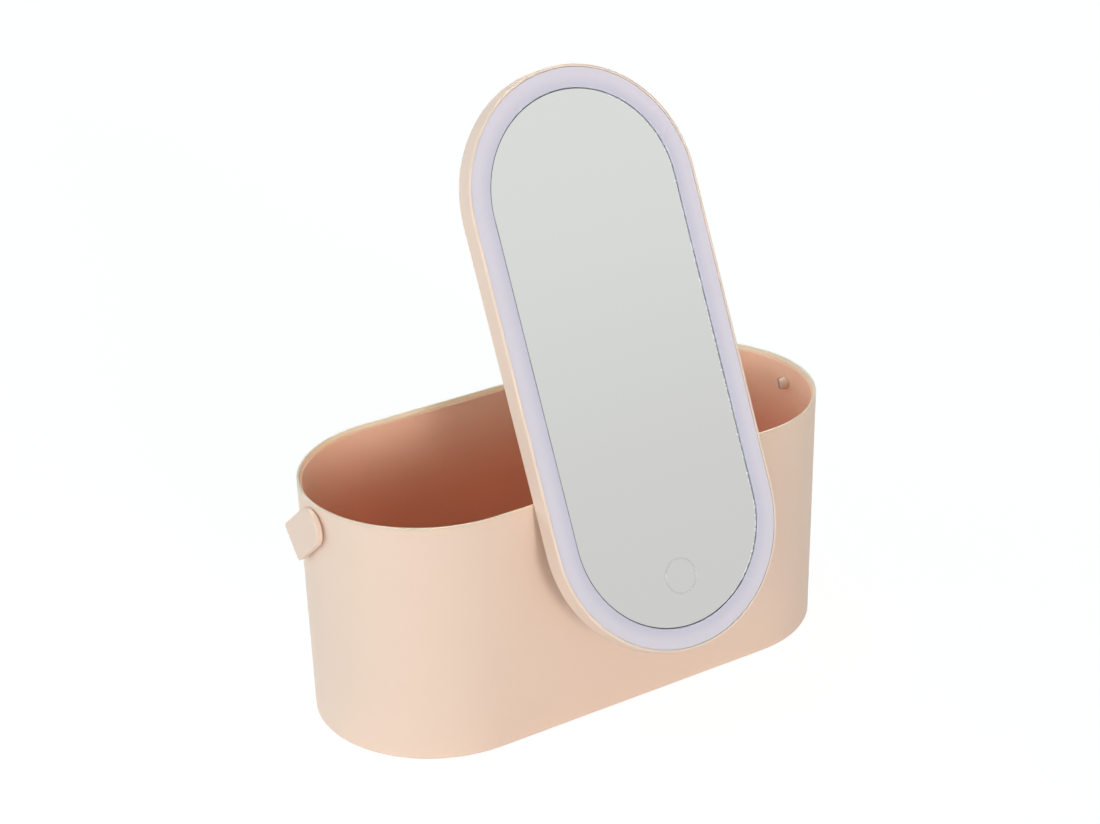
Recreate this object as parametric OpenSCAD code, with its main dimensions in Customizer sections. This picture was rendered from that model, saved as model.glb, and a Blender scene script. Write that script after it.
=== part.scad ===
// Vanity box: a pill-shaped bin whose lid is a lit mirror. The lid is shown hung on
// the front rim, held there by the folding leg on its back, which reaches down
// inside the front wall. Two turning latches hold the lid when the box is closed.
// X runs along the bin, -Y is the front, Z is up. The origin is under the middle.

/* [Bin] */
// Length of the bin over the rim
box_l = 285; // [250:1:320]
// Width of the bin over the rim
box_w = 126; // [116:1:140]
// Height of the bin without its pad
box_h = 126.5; // [116:0.5:150]
// Thickness of the bin's wall
box_wall = 2.5; // [2.2:0.1:3.2]
// Thickness of the bin's floor
box_floor = 2.8; // [2:0.1:4]
// How far each side draws in from the rim to the base
box_draft = 1.9; // [0.5:0.1:3]
// Rounding of the bin's bottom edge
base_round = 1.5; // [1:0.5:6]
// Depth of the step inside the rim that takes the closed lid
rim_step_h = 2.5; // [2:0.1:4]
// Thickness of the rim outside that step
rim_lip = 1.2; // [1:0.1:1.5]
// Rounding of the rim's outer edge
rim_round = 0.4; // [0.2:0.1:0.5]

/* [Base pad] */
// Width of the non-slip pad
pad_w = 96; // [60:1:100]
// Thickness of the pad
pad_t = 1.5; // [1.2:0.1:2]
// How far the pad stands out of the bin's underside
pad_proud = 0.5; // [0.3:0.1:0.8]

/* [Latches] */
// Height from the latch pin up to the rim
latch_drop = 12.5; // [11.5:0.5:14]
// Reach of the latch from its pin to its free end
latch_reach = 23.4; // [22:0.2:26]
// Width of the latch
latch_w = 19.5; // [16:0.5:21]
// Thickness of the latch plate
latch_t = 3; // [2:0.1:4]
// Rounding of the latch's free corners
latch_corner = 1.8; // [1:0.1:3]
// Angle of the parked latch below level
latch_park = 40; // [30:0.5:40]
// Diameter of the latch's pin
pin_d = 6; // [5:0.5:8]
// Length of the pin's snap end inside the bin
snap_l = 4; // [3:0.1:5]
// How far the snap's lip stands out of the pin
snap_lip = 0.5; // [0.3:0.1:0.7]
// Width of the split in the snap end
snap_slot = 1.6; // [1:0.1:2]
// Angle of the split from the latch's length
snap_turn = 108; // [0:1:180]
// Distance from the pin to the middle of the latch's nib
nib_at = 18.9; // [18:0.1:19.5]
// Width of the nib along its edge
nib_w = 14; // [8:0.5:14]
// Thickness of the nib
nib_h = 2.5; // [2:0.1:3]
// How far the nib stands out of the plate
nib_depth = 1.5; // [1:0.1:1.5]
// Thickness of the washer under each latch
washer_t = 0.5; // [0.4:0.1:1]

/* [Lid] */
// Thickness of the lid
lid_t = 10.6; // [10.4:0.1:13]
// Width of the bare lip round the light ring
lip_w = 1.4; // [1.2:0.1:2.8]
// Thickness of the lid's side wall
lid_wall = 3.4; // [3:0.1:4]
// Rounding of the lid's front edge
lid_round = 1; // [0.5:0.1:1.2]
// Rounding of the lid's back edge
lid_back_round = 0.5; // [0.3:0.1:0.8]
// Angle that the hung lid leans back
lid_tilt = 23.8; // [21:0.1:28]
// Length of lid that hangs below the rim's edge
lid_hang = 88; // [80:1:96]
// How far the hung lid sits to the right of the middle
lid_shift = 3; // [-20:1:20]
// Thickness of the back cover
cover_t = 1.6; // [1.4:0.1:2]
// Height of the ring that locates the closed lid in the rim
spigot_h = 1.4; // [1:0.1:1.8]
// Thickness of that ring
spigot_wall = 1.8; // [1.2:0.1:2.4]

/* [Mirror and light] */
// Width of the light ring
ring_w = 9.8; // [8:0.1:11]
// Thickness of the light ring's cover
ring_t = 1.5; // [1.2:0.1:2]
// How far the light ring lies below the lip
ring_sink = 0.4; // [0.2:0.1:0.6]
// How far the mirror lies below the lip
mirror_sink = 0.9; // [0.8:0.1:1.2]
// Thickness of the mirror glass
mirror_t = 2; // [1.5:0.1:2.2]
// Thickness of the adhesive sheet
tape_t = 0.4; // [0.2:0.1:0.6]
// Thickness of the tray's floor
tray_floor = 1.1; // [1:0.1:1.4]
// Width of the tray's wall
tray_wall = 2; // [1.6:0.1:2.4]
// Thickness of the ledge that carries the tray and the lights
ledge_t = 1; // [0.8:0.1:1.2]
// Width of the light board
led_board_w = 5.4; // [4.5:0.1:5.6]
// Thickness of the light board
led_board_t = 0.8; // [0.6:0.1:1]
// Spacing of the lights along the ring
led_pitch = 15; // [12:1:25]
// Diameter of the touch ring's line
touch_d = 17; // [14:0.5:22]
// Height of the touch ring above the mirror's lower end
touch_up = 24; // [20:0.5:34]

/* [Leg] */
// Width of the leg
leg_w = 44; // [36:1:50]
// Length of the leg from its hinge to its tip
leg_l = 100; // [85:1:104]
// Thickness of the leg
leg_t = 2.6; // [2:0.1:2.8]
// Diameter of the leg's barrel
barrel_d = 4; // [3.6:0.1:4.2]
// Diameter of the hinge pin
hinge_d = 2; // [1.6:0.1:2.2]
// Depth of the hinge's axis below the lid's back
axis_depth = 1.4; // [1.2:0.1:1.6]
// Length of the leg's rubber tip
tip_l = 8; // [6:0.5:12]
// Thickness of the leg's rubber tip
tip_t = 3.2; // [3:0.1:3.4]
// Room for a finger past the folded leg's tip
finger_room = 10; // [6:1:14]

/* [Electronics] */
// Length of the lithium cell
cell_l = 50; // [40:1:52]
// Width of the lithium cell
cell_w = 40; // [30:1:42]
// Thickness of the lithium cell
cell_t = 2.9; // [2.2:0.1:3]
// Length of the control board
board_l = 36; // [30:1:38]
// Width of the control board
board_w = 46; // [40:1:46]
// Thickness of the control board
board_t = 1; // [0.8:0.1:1.2]
// Diameter of the cover screws' thread
screw_d = 2; // [1.8:0.1:2.2]

/* [Hidden] */
$fn = 96;

// Clearances
run_gap = 0.05;   // a pin in its hole, and a face that turns on another
seat_gap = 0.3;   // pieces that lie near each other and don't touch
fit_gap = 0.15;   // a piece set into its rebate
cut = 1;          // how far a cut runs past the face that it opens
join = 0.01;      // how far two stacked forms run into each other to be one

// Bin
end_r = box_w / 2;
spine = (box_l - box_w) / 2;
rim_z = pad_proud + box_h;
draft_rate = box_draft / box_h;
function wall_r(z) = end_r - draft_rate * (rim_z - z);
floor_z = pad_proud + box_floor;
step_r = end_r - rim_lip;
step_edge = 0.3;
inside_round = base_round;

// Latch, with its plate square to X
pin_z = rim_z - latch_drop;
pin_r = pin_d / 2;
boss_r = pin_r + 2;
pad_in = 0.3;     // how far the pin's seat stands into the bin
pad_out = 0.1;    // how far it stands past the rim's line
boss_out = spine + end_r + pad_out;
boss_in = spine + wall_r(pin_z) - box_wall - pad_in;
washer_r = boss_r;
plate_in = boss_out + washer_t + run_gap;
snap_step = 0.9;
snap_taper = 0.4;

// Lid, in its own frame: X across, Y up the lid, Z out of the mirror, lip at Z = 0
lid_half = box_l / 2;
cross_u = lid_hang - lid_half;
rim_gap = spigot_h + seat_gap;
lid_y = -end_r - (rim_gap + lid_t) * cos(lid_tilt) - cross_u * sin(lid_tilt);
lid_z = rim_z + (rim_gap + lid_t) * sin(lid_tilt) - cross_u * cos(lid_tilt);
ring_floor = ring_sink + ring_t;
lip_r = end_r - lip_w;
cavity_r = end_r - lid_wall;
ring_out = lip_r - fit_gap;
ring_in = ring_out - ring_w;
mirror_r = ring_in - seat_gap;
tray_in = ring_in;
tray_out = tray_in + tray_wall;
tape_top = mirror_sink + mirror_t;
tape_floor = tape_top + tape_t;
tray_under = tape_floor + tray_floor;
ledge_top = tray_under;
ledge_in = tray_in - 1.6;
cover_r = end_r - 1.8;
cover_top = lid_t - cover_t;
cover_seat_r = cover_r + fit_gap;
pocket_mid = lid_t - (nib_at - latch_drop);
pocket_h = nib_h + 2 * seat_gap;
pocket_depth = nib_depth;

// Screws round the lid, as [x, y] on the pill's line
screw_line = cavity_r - 3.6;
screw_side = spine - 34.5;
screw_spots = [for (sx = [-1, 1], sy = [-1, 1]) each
    [[sx * screw_line, sy * screw_side],
     [sx * screw_line * sin(45), sy * (spine + screw_line * cos(45))]]];
screw_r = screw_d / 2;
screw_head_r = 2 * screw_r;
screw_head_h = screw_r;
screw_boss_r = screw_r + 2;

// Lights
led_line = (tray_out + cavity_r) / 2;
led_size = [2.8, 3.5, 0.8];
straight_run = 2 * spine;
bend_run = PI * led_line;
led_count = 2 * floor((straight_run + bend_run) / led_pitch);
led_step = 2 * (straight_run + bend_run) / led_count;
// Place of a light as [x, y, turn], a distance along the pill's line
function led_spot(d) =
    d < straight_run ? [led_line, d - spine, 0] :
    d < straight_run + bend_run ?
        let (a = (d - straight_run) / led_line * 180 / PI)
        [led_line * cos(a), spine + led_line * sin(a), a] :
    let (p = led_spot(d - straight_run - bend_run)) [-p[0], -p[1], p[2] + 180];

// Leg: upright against the inside of the front wall
function axis_u_at(y) = (y - lid_y - (lid_t - axis_depth) * cos(lid_tilt)) / sin(lid_tilt);
function axis_z_at(y) =
    lid_z + axis_u_at(y) * cos(lid_tilt) - (lid_t - axis_depth) * sin(lid_tilt);
leg_front = seat_gap + tip_t / 2;
first_y = -(end_r - box_wall) + leg_front;
tip_z = axis_z_at(first_y) - leg_l;
leg_y = -(wall_r(tip_z) - box_wall) + leg_front;
axis_u = axis_u_at(leg_y);
axis_z = axis_z_at(leg_y);
stop_run = leg_t / 2 * sin(lid_tilt)
    + (axis_depth + leg_t / 2 * cos(lid_tilt)) * cos(lid_tilt) / sin(lid_tilt);
recess_low = axis_u - stop_run - seat_gap / sin(lid_tilt);
recess_high = axis_u + leg_l + finger_room;
recess_side = leg_w / 2 + seat_gap;
recess_wall = 1.2;
recess_top = lid_t - axis_depth - barrel_d / 2 - seat_gap;
lug_wall = 3.2;
hinge_r = hinge_d / 2;
hinge_hold = lug_wall - 0.6;
leg_corner = 8;
tongue_l = tip_l - 3;
tongue_t = leg_t - 1.2;

// Electronics, in the lid's frame
board_edge = cavity_r - 1.6;
board_low = -spine - 10;
board_z = -cover_top + 1.3;
board_top = board_z + board_t;
socket_w = 8.9;
socket_h = 3.2;
socket_l = 7.3;
socket_y = board_low + board_l / 2 + 4;
socket_wall = 0.3;
socket_mouth = end_r - 0.4;
socket_z = board_z + board_t / 2;
socket_gap = 0.2;
cell_side = 7.6;   // room between the cell and the lid's wall
cell_right = cell_w + cell_side - cavity_r;
cell_low = -spine - 24;
foam_t = 0.5;
cell_z = -cover_top + foam_t;
lead_r = 0.5;
lead_spots = [board_low + 8, board_low + 12];
plug_l = 4;
plug_x = board_edge - board_w + 1;
post_r = 2;
post_screw_r = 0.8;
post_head_r = 1.6;
post_spots = [[board_edge - board_w + 5, board_low + 4],
              [board_edge - board_w + 5, board_low + board_l - 4]];
led_lead_spots = [[led_line, board_low + board_l - 4], [led_line, board_low + board_l - 7]];
touch_y = -spine - mirror_r + touch_up;
touch_line = 0.8;
touch_cut = 0.1;
foil_r = touch_d / 2 - 1;
foil_t = 0.2;

blush = [0.93, 0.80, 0.71];
milky = [0.86, 0.85, 0.91];
silver = [0.84, 0.85, 0.84];
white = [0.93, 0.93, 0.92];
steel = [0.72, 0.73, 0.75];
dark = [0.25, 0.25, 0.27];
board_green = [0.10, 0.36, 0.22];
copper = [0.80, 0.48, 0.30];

// A profile drawn from X = 0 outwards, carried round a pill that lies along X
module pill_along(half) {
    for (side = [-1, 1]) translate([side * half, 0, 0]) rotate_extrude() children();
    translate([-half, 0, 0]) rotate([90, 0, 90]) linear_extrude(2 * half) {
        children();
        mirror([1, 0]) children();
    }
}

// The same for the lid, whose pill lies along its own Y
module lid_pill() {
    rotate([0, 0, 90]) pill_along(spine) children();
}

// A flat pill of the lid between two depths below its lip
module lid_slab(r, top, bottom) {
    lid_pill() translate([0, -bottom]) square([r, bottom - top]);
}

// A slab's profile with rounded outer edges
module round_edge_profile(r, low, high, low_round, high_round) {
    translate([0, low + low_round]) square([r, high - low - low_round - high_round]);
    translate([0, low]) square([r - low_round, low_round]);
    translate([0, high - high_round]) square([r - high_round, high_round]);
    translate([r - low_round, low + low_round]) circle(low_round);
    translate([r - high_round, high - high_round]) circle(high_round);
}

// The bin's outer form
module bin_profile() {
    knee_z = pad_proud + base_round;
    knee_r = wall_r(knee_z);
    polygon([[0, knee_z], [knee_r, knee_z], [wall_r(rim_z - rim_round), rim_z - rim_round],
             [0, rim_z - rim_round]]);
    translate([0, pad_proud]) square([knee_r - base_round, base_round]);
    translate([knee_r - base_round, knee_z]) circle(base_round);
    translate([0, rim_z - rim_round]) square([end_r - rim_round, rim_round]);
    translate([end_r - rim_round, rim_z - rim_round]) circle(rim_round);
}

// The bin's hollow
module hollow_profile() {
    knee_z = floor_z + inside_round;
    knee_r = wall_r(knee_z) - box_wall;
    polygon([[0, knee_z], [knee_r, knee_z], [wall_r(rim_z) - box_wall, rim_z],
             [wall_r(rim_z) - box_wall, rim_z + cut], [0, rim_z + cut]]);
    translate([0, floor_z]) square([knee_r - inside_round, inside_round]);
    translate([knee_r - inside_round, knee_z]) circle(inside_round);
}

// The step that the closed lid's ring drops into
module step_profile() {
    polygon([[0, rim_z - rim_step_h], [step_r, rim_z - rim_step_h],
             [step_r, rim_z - step_edge], [step_r + step_edge, rim_z],
             [step_r + step_edge, rim_z + cut], [0, rim_z + cut]]);
}

// Puts a turned piece on the line through both latch pins, X outwards
module on_pin(side) {
    translate([0, 0, pin_z]) mirror([side < 0 ? 1 : 0, 0, 0]) rotate([90, 0, 90]) children();
}

module box_shell() {
    color(blush) difference() {
        union() {
            difference() {
                pill_along(spine) bin_profile();
                pill_along(spine) hollow_profile();
                pill_along(spine) step_profile();
            }
            for (side = [-1, 1]) on_pin(side) translate([0, 0, boss_in])
                cylinder(r = boss_r, h = boss_out - boss_in);
        }
        for (side = [-1, 1]) on_pin(side) translate([0, 0, boss_in - cut])
            cylinder(r = pin_r + run_gap, h = boss_out - boss_in + 2 * cut);
        translate([0, 0, pad_proud - cut]) pill_along(spine)
            square([pad_w / 2 + fit_gap, cut + pad_t - pad_proud]);
    }
}

module base_pad() {
    color(dark) pill_along(spine) round_edge_profile(pad_w / 2, 0, pad_t, 0.3, 0.1);
}

module latch_washers() {
    color(dark) for (side = [-1, 1]) on_pin(side) translate([0, 0, boss_out]) difference() {
        cylinder(r = washer_r, h = washer_t);
        translate([0, 0, -cut]) cylinder(r = pin_r + run_gap, h = washer_t + 2 * cut);
    }
}

module latch_outline() {
    half = latch_w / 2;
    circle(half);
    translate([0, -half]) square([latch_reach - latch_corner, latch_w]);
    translate([0, latch_corner - half]) square([latch_reach, latch_w - 2 * latch_corner]);
    for (s = [-1, 1]) translate([latch_reach - latch_corner, s * (half - latch_corner)])
        circle(latch_corner);
}

// Half of the snap end, seen from the side, drawn from the pin's middle
module snap_profile() {
    lip_at = boss_in - 3 * run_gap;
    tip_at = boss_in - snap_l;
    polygon([[0, tip_at], [pin_r - snap_taper, tip_at], [pin_r + snap_lip, lip_at - snap_step],
             [pin_r + snap_lip, lip_at], [0, lip_at]]);
}

// A latch with its plate, nib, pin and split snap end in one
module latch(side) {
    on_pin(side) rotate([0, 0, -latch_park]) difference() {
        union() {
            translate([0, 0, plate_in]) linear_extrude(latch_t) latch_outline();
            translate([nib_at - nib_h / 2, -nib_w / 2, plate_in - nib_depth])
                cube([nib_h, nib_w, nib_depth + latch_t / 2]);
            translate([0, 0, boss_in - snap_l])
                cylinder(r = pin_r - snap_taper, h = plate_in - boss_in + snap_l + latch_t / 2);
            translate([0, 0, boss_in - 3 * run_gap])
                cylinder(r = pin_r, h = plate_in - boss_in + 3 * run_gap + latch_t / 2);
            rotate_extrude() snap_profile();
        }
        rotate([0, 0, snap_turn]) translate([-latch_w, -snap_slot / 2, boss_in - snap_l - cut])
            cube([2 * latch_w, snap_slot, snap_l + cut + box_wall]);
    }
}

module left_latch() {
    color(blush) latch(-1);
}

module right_latch() {
    color(blush) latch(1);
}

// Puts a piece drawn in the lid's frame where the lid hangs
module on_lid() {
    translate([lid_shift, lid_y, lid_z]) rotate([90 - lid_tilt, 0, 0]) children();
}

// The charging socket's outline, lying across the lid's thickness
module socket_outline(grow) {
    round_r = socket_h / 2 + grow;
    for (s = [-1, 1]) translate([s * (socket_w - socket_h) / 2, 0]) circle(round_r);
    square([socket_w - socket_h, 2 * round_r], center = true);
}

// Puts a piece at the socket, drawn with Z towards the mouth and X along the lid
module at_socket(inset) {
    translate([socket_mouth - inset, socket_y, socket_z]) rotate([90, 0, 90]) children();
}

module lid_frame() {
    color(blush) on_lid() difference() {
        union() {
            difference() {
                lid_pill() round_edge_profile(end_r, -lid_t, 0, lid_back_round, lid_round);
                lid_slab(lip_r, -cut, ring_floor);
                lid_slab(cavity_r, ring_floor - join, ledge_top);
                lid_slab(ledge_in, ledge_top - join, ledge_top + ledge_t + join);
                lid_slab(cavity_r, ledge_top + ledge_t, cover_top + join);
                lid_slab(cover_seat_r, cover_top, lid_t + cut);
            }
            for (p = screw_spots) translate([p[0], p[1], -cover_top])
                cylinder(r = screw_boss_r, h = cover_top - ledge_top - ledge_t / 2);
        }
        for (p = screw_spots) translate([p[0], p[1], -cover_top - cut])
            cylinder(r = screw_r + run_gap, h = cover_top - ledge_top + 2 * cut);
        for (p = led_lead_spots) translate([p[0], p[1], -ledge_top - ledge_t - cut])
            cylinder(r = lead_r + seat_gap, h = ledge_t + 2 * cut);
        at_socket(socket_l + cut) linear_extrude(socket_l + 3 * cut) socket_outline(socket_gap);
        for (s = [-1, 1]) translate([0, s * (lid_half + cut - pocket_depth), -pocket_mid])
            cube([nib_w + 4, 2 * cut, pocket_h], center = true);
    }
}

module back_cover() {
    color(blush) on_lid() difference() {
        union() {
            lid_slab(cover_r, cover_top, lid_t);
            difference() {
                lid_slab(cover_r, lid_t - join, lid_t + spigot_h);
                lid_slab(cover_r - spigot_wall, lid_t - cut, lid_t + spigot_h + cut);
            }
            translate([-recess_side - lug_wall, recess_low - recess_wall, -cover_top - join])
                cube([2 * (recess_side + lug_wall), recess_high - recess_low + 2 * recess_wall,
                      cover_top - recess_top + recess_wall]);
            for (p = post_spots) translate([p[0], p[1], -cover_top - join])
                cylinder(r = post_r, h = board_z + cover_top + join);
        }
        translate([-recess_side, recess_low, -lid_t - cut])
            cube([2 * recess_side, recess_high - recess_low, lid_t - recess_top + cut]);
        translate([-recess_side - hinge_hold, axis_u, axis_depth - lid_t]) rotate([0, 90, 0])
            cylinder(r = hinge_r + run_gap, h = 2 * (recess_side + hinge_hold));
        for (p = screw_spots) translate([p[0], p[1], -lid_t - join]) {
            cylinder(r1 = screw_head_r + run_gap, r2 = screw_r + run_gap, h = screw_head_h + join);
            cylinder(r = screw_r + run_gap, h = cover_t + cut);
        }
        for (p = post_spots) translate([p[0], p[1], -cover_top])
            cylinder(r = post_screw_r + run_gap, h = board_z + cover_top + cut);
    }
}

module light_diffuser() {
    color(milky) on_lid() difference() {
        lid_pill() round_edge_profile(ring_out, -ring_floor, -ring_sink, 0.1, 0.3);
        lid_slab(ring_in, 0, ring_floor + cut);
    }
}

module mirror_glass() {
    color(silver) on_lid() difference() {
        lid_pill() polygon([[0, -tape_top], [mirror_r, -tape_top], [mirror_r, -mirror_sink - 0.3],
                            [mirror_r - 0.3, -mirror_sink], [0, -mirror_sink]]);
        translate([0, touch_y, -mirror_sink - touch_cut]) difference() {
            cylinder(r = (touch_d + touch_line) / 2, h = touch_cut + cut);
            translate([0, 0, -cut]) cylinder(r = (touch_d - touch_line) / 2, h = 3 * cut);
        }
    }
}

module mirror_tape() {
    color(dark) on_lid() lid_slab(mirror_r - 0.5, tape_top, tape_floor);
}

module mirror_tray() {
    color(white) on_lid() difference() {
        lid_slab(tray_out, ring_floor, tray_under);
        lid_slab(tray_in, ring_floor - cut, tape_floor);
    }
}

module led_board() {
    half = led_board_w / 2;
    color(white) on_lid() difference() {
        lid_slab(led_line + half, ledge_top - led_board_t, ledge_top);
        lid_slab(led_line - half, ledge_top - led_board_t - cut, ledge_top + cut);
    }
}

module leds() {
    color(milky) on_lid() for (i = [0 : led_count - 1]) {
        spot = led_spot((i + 0.5) * led_step);
        translate([spot[0], spot[1], led_board_t - ledge_top + led_size[2] / 2])
            rotate([0, 0, spot[2]]) cube(led_size, center = true);
    }
}

module control_board() {
    color(board_green) on_lid() difference() {
        translate([board_edge - board_w, board_low, board_z]) cube([board_w, board_l, board_t]);
        at_socket(socket_l + socket_gap) linear_extrude(socket_l + cut)
            square([socket_w + 2 * socket_gap, socket_h], center = true);
        for (p = post_spots) translate([p[0], p[1], board_z - cut])
            cylinder(r = post_screw_r + run_gap, h = board_t + 2 * cut);
        for (p = led_lead_spots) translate([p[0], p[1], board_z + board_t / 2])
            cylinder(r = lead_r + run_gap, h = board_t);
    }
}

module board_parts() {
    mid_x = board_edge - board_w / 2;
    mid_y = board_low + board_l / 2;
    // Each as [x from the middle, y from the middle, length, width, height]
    chips = [[-6, -2, 7, 7, 1.2], [4, 7, 5, 5, 1], [3, -9, 6, 4, 1.1], [-5, 11, 4, 3, 0.9],
             [8, -1, 3, 3, 0.9]];
    color(dark) on_lid() {
        for (c = chips) translate([mid_x + c[0] - c[2] / 2, mid_y + c[1] - c[3] / 2, board_top])
            cube([c[2], c[3], c[4]]);
        translate([plug_x, lead_spots[0] - 2, board_top])
            cube([plug_l, lead_spots[1] - lead_spots[0] + 4, 1.8]);
    }
}

module charging_socket() {
    color(steel) on_lid() at_socket(socket_l) {
        difference() {
            linear_extrude(socket_l) socket_outline(0);
            translate([0, 0, 1]) linear_extrude(socket_l) socket_outline(-socket_wall);
        }
        translate([-3.3, -0.35, 0.5]) cube([6.6, 0.7, socket_l - 1.5]);
    }
}

module battery_cell() {
    color(steel) on_lid() translate([cell_right - cell_w, cell_low, cell_z])
        cube([cell_w, cell_l, cell_t]);
}

module cell_pad() {
    color(dark) on_lid() translate([cell_right - cell_w + 3, cell_low + 3, -cover_top])
        cube([cell_w - 6, cell_l - 6, foam_t]);
}

module touch_electrode() {
    color(copper) on_lid() translate([0, touch_y, -tray_under - foil_t])
        cylinder(r = foil_r, h = foil_t);
}

module cell_leads() {
    color("firebrick") on_lid() for (y = lead_spots)
        translate([cell_right, y, board_top + 0.9]) rotate([0, 90, 0])
            cylinder(r = lead_r, h = plug_x - cell_right, $fn = 24);
}

module led_leads() {
    low = board_z + board_t / 2;
    color("firebrick") on_lid() for (p = led_lead_spots)
        translate([p[0], p[1], low]) cylinder(r = lead_r, h = -ledge_top - low, $fn = 24);
}

// The lead from the foil to the board: out from under the foil to a soldered post
module touch_lead() {
    start = [foil_r - 2, touch_y];
    finish = [board_edge - board_w + 2, board_low + 2];
    run = finish - start;
    run_z = -tray_under - foil_t - lead_r;
    joint_r = lead_r + 0.1;
    color(copper) on_lid() {
        translate([start[0], start[1], run_z]) rotate([0, 90, atan2(run[1], run[0])])
            cylinder(r = lead_r, h = norm(run), $fn = 24);
        translate([finish[0], finish[1], board_top])
            cylinder(r = joint_r, h = run_z + joint_r - board_top, $fn = 24);
    }
}

module cover_screws() {
    color(steel) on_lid() for (p = screw_spots) translate([p[0], p[1], -lid_t]) difference() {
        union() {
            cylinder(r1 = screw_head_r, r2 = screw_r, h = screw_head_h);
            cylinder(r = screw_r, h = lid_t - ledge_top);
        }
        for (turn = [0, 90]) rotate([0, 0, turn]) translate([-screw_r, -0.2, -cut])
            cube([2 * screw_r, 0.4, cut + 0.5]);
    }
}

module board_screws() {
    color(steel) on_lid() for (p = post_spots) {
        translate([p[0], p[1], board_top]) cylinder(r = post_head_r, h = 0.7);
        translate([p[0], p[1], -cover_top]) cylinder(r = post_screw_r, h = board_top + cover_top);
    }
}

// Puts a piece on the leg's hinge line, upright and square to the bin
module on_hinge() {
    translate([lid_shift, leg_y, axis_z]) children();
}

module stand_pin() {
    half = recess_side + hinge_hold;
    color(steel) on_hinge() rotate([0, 90, 0]) cylinder(r = hinge_r, h = 2 * half, center = true);
}

module leg_outline() {
    low = tip_l - leg_l;
    translate([-leg_w / 2, low + leg_corner]) square([leg_w, -low - leg_corner]);
    translate([leg_corner - leg_w / 2, low]) square([leg_w - 2 * leg_corner, leg_corner]);
    for (s = [-1, 1]) translate([s * (leg_w / 2 - leg_corner), low + leg_corner])
        circle(leg_corner);
}

module stand_leg() {
    tongue_w = leg_w - 2 * leg_corner - 4;
    color(blush) on_hinge() difference() {
        union() {
            rotate([90, 0, 0]) linear_extrude(leg_t, center = true) leg_outline();
            rotate([0, 90, 0]) cylinder(d = barrel_d, h = leg_w, center = true);
            translate([-tongue_w / 2, -tongue_t / 2, tip_l - leg_l - tongue_l])
                cube([tongue_w, tongue_t, tongue_l + 1]);
        }
        rotate([0, 90, 0]) cylinder(r = hinge_r + run_gap, h = leg_w + 2 * cut, center = true);
    }
}

module stand_tip() {
    tip_w = leg_w - 2 * leg_corner;
    tongue_w = tip_w - 4;
    color(dark) on_hinge() difference() {
        translate([0, 0, -leg_l]) rotate([90, 0, 0]) linear_extrude(tip_t, center = true) {
            translate([-tip_w / 2, tip_t / 2]) square([tip_w, tip_l - tip_t / 2]);
            translate([tip_t / 2 - tip_w / 2, 0]) square([tip_w - tip_t, tip_t]);
            for (s = [-1, 1]) translate([s * (tip_w - tip_t) / 2, tip_t / 2]) circle(tip_t / 2);
        }
        translate([-tongue_w / 2, -tongue_t / 2, tip_l - leg_l - tongue_l])
            cube([tongue_w, tongue_t, tongue_l + cut]);
    }
}

box_shell();
base_pad();
latch_washers();
left_latch();
right_latch();
lid_frame();
back_cover();
light_diffuser();
mirror_glass();
mirror_tape();
mirror_tray();
led_board();
leds();
control_board();
board_parts();
charging_socket();
battery_cell();
cell_pad();
touch_electrode();
cell_leads();
led_leads();
touch_lead();
cover_screws();
board_screws();
stand_pin();
stand_leg();
stand_tip();
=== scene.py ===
# %% [markdown]
# # A vanity box whose lid is a lit mirror
#
# The object is a pill-shaped bin of blush pink plastic with a turning latch at each end. Its lid is
# a mirror with a ring of light, and here the lid hangs on the front rim, held by a folding leg that
# reaches down inside the front wall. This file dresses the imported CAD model: it loads the frame,
# sets the camera, the light and the finishes, and remodels the pieces whose edges the camera sees.
# A reader can run it cell by cell, because each cell prints what it made.

# %% Load the frame
import math
import bmesh
import bpy
from mathutils import Euler, Matrix, Vector


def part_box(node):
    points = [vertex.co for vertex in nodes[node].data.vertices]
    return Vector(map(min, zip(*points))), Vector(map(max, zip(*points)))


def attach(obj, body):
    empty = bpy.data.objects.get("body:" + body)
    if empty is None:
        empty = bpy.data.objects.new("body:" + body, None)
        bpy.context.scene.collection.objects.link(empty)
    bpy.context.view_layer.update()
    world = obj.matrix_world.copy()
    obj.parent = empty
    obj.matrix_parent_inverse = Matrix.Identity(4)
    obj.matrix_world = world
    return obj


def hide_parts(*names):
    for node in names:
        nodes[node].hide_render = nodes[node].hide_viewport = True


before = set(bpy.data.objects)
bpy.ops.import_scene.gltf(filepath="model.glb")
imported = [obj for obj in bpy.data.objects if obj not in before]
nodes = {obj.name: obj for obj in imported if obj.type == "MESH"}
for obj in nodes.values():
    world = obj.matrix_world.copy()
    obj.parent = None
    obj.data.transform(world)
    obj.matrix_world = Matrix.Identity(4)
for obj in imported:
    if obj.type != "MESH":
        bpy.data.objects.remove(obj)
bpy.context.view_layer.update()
scene = bpy.context.scene
MM = 0.001

# %% [markdown]
# ## Camera
#
# The photograph looks down on the box from its front left. A camera can be placed by eye, or worked
# out from edges whose sizes are known. Here the bin's rim, the lid's outline and the mirror's edge
# were matched, which gives a direction, a distance and a focal length. The camera is slightly
# rolled, as a hand-held one is, so its axes are built from the direction and the roll.

# %% Place the camera
VIEW_TURN = math.radians(-32.70)   # to the left of the front
VIEW_RISE = math.radians(24.822)
VIEW_ROLL = math.radians(-1.454)
VIEW_TARGET = Vector((-1.48, 10.30, 131.91)) * MM
VIEW_DISTANCE = 1267 * MM
IMAGE_WIDTH = 1100                  # pixels
FOCAL_LENGTH = 2531.4               # in the same pixels
SENSOR_WIDTH = 36                   # millimetres


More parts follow.
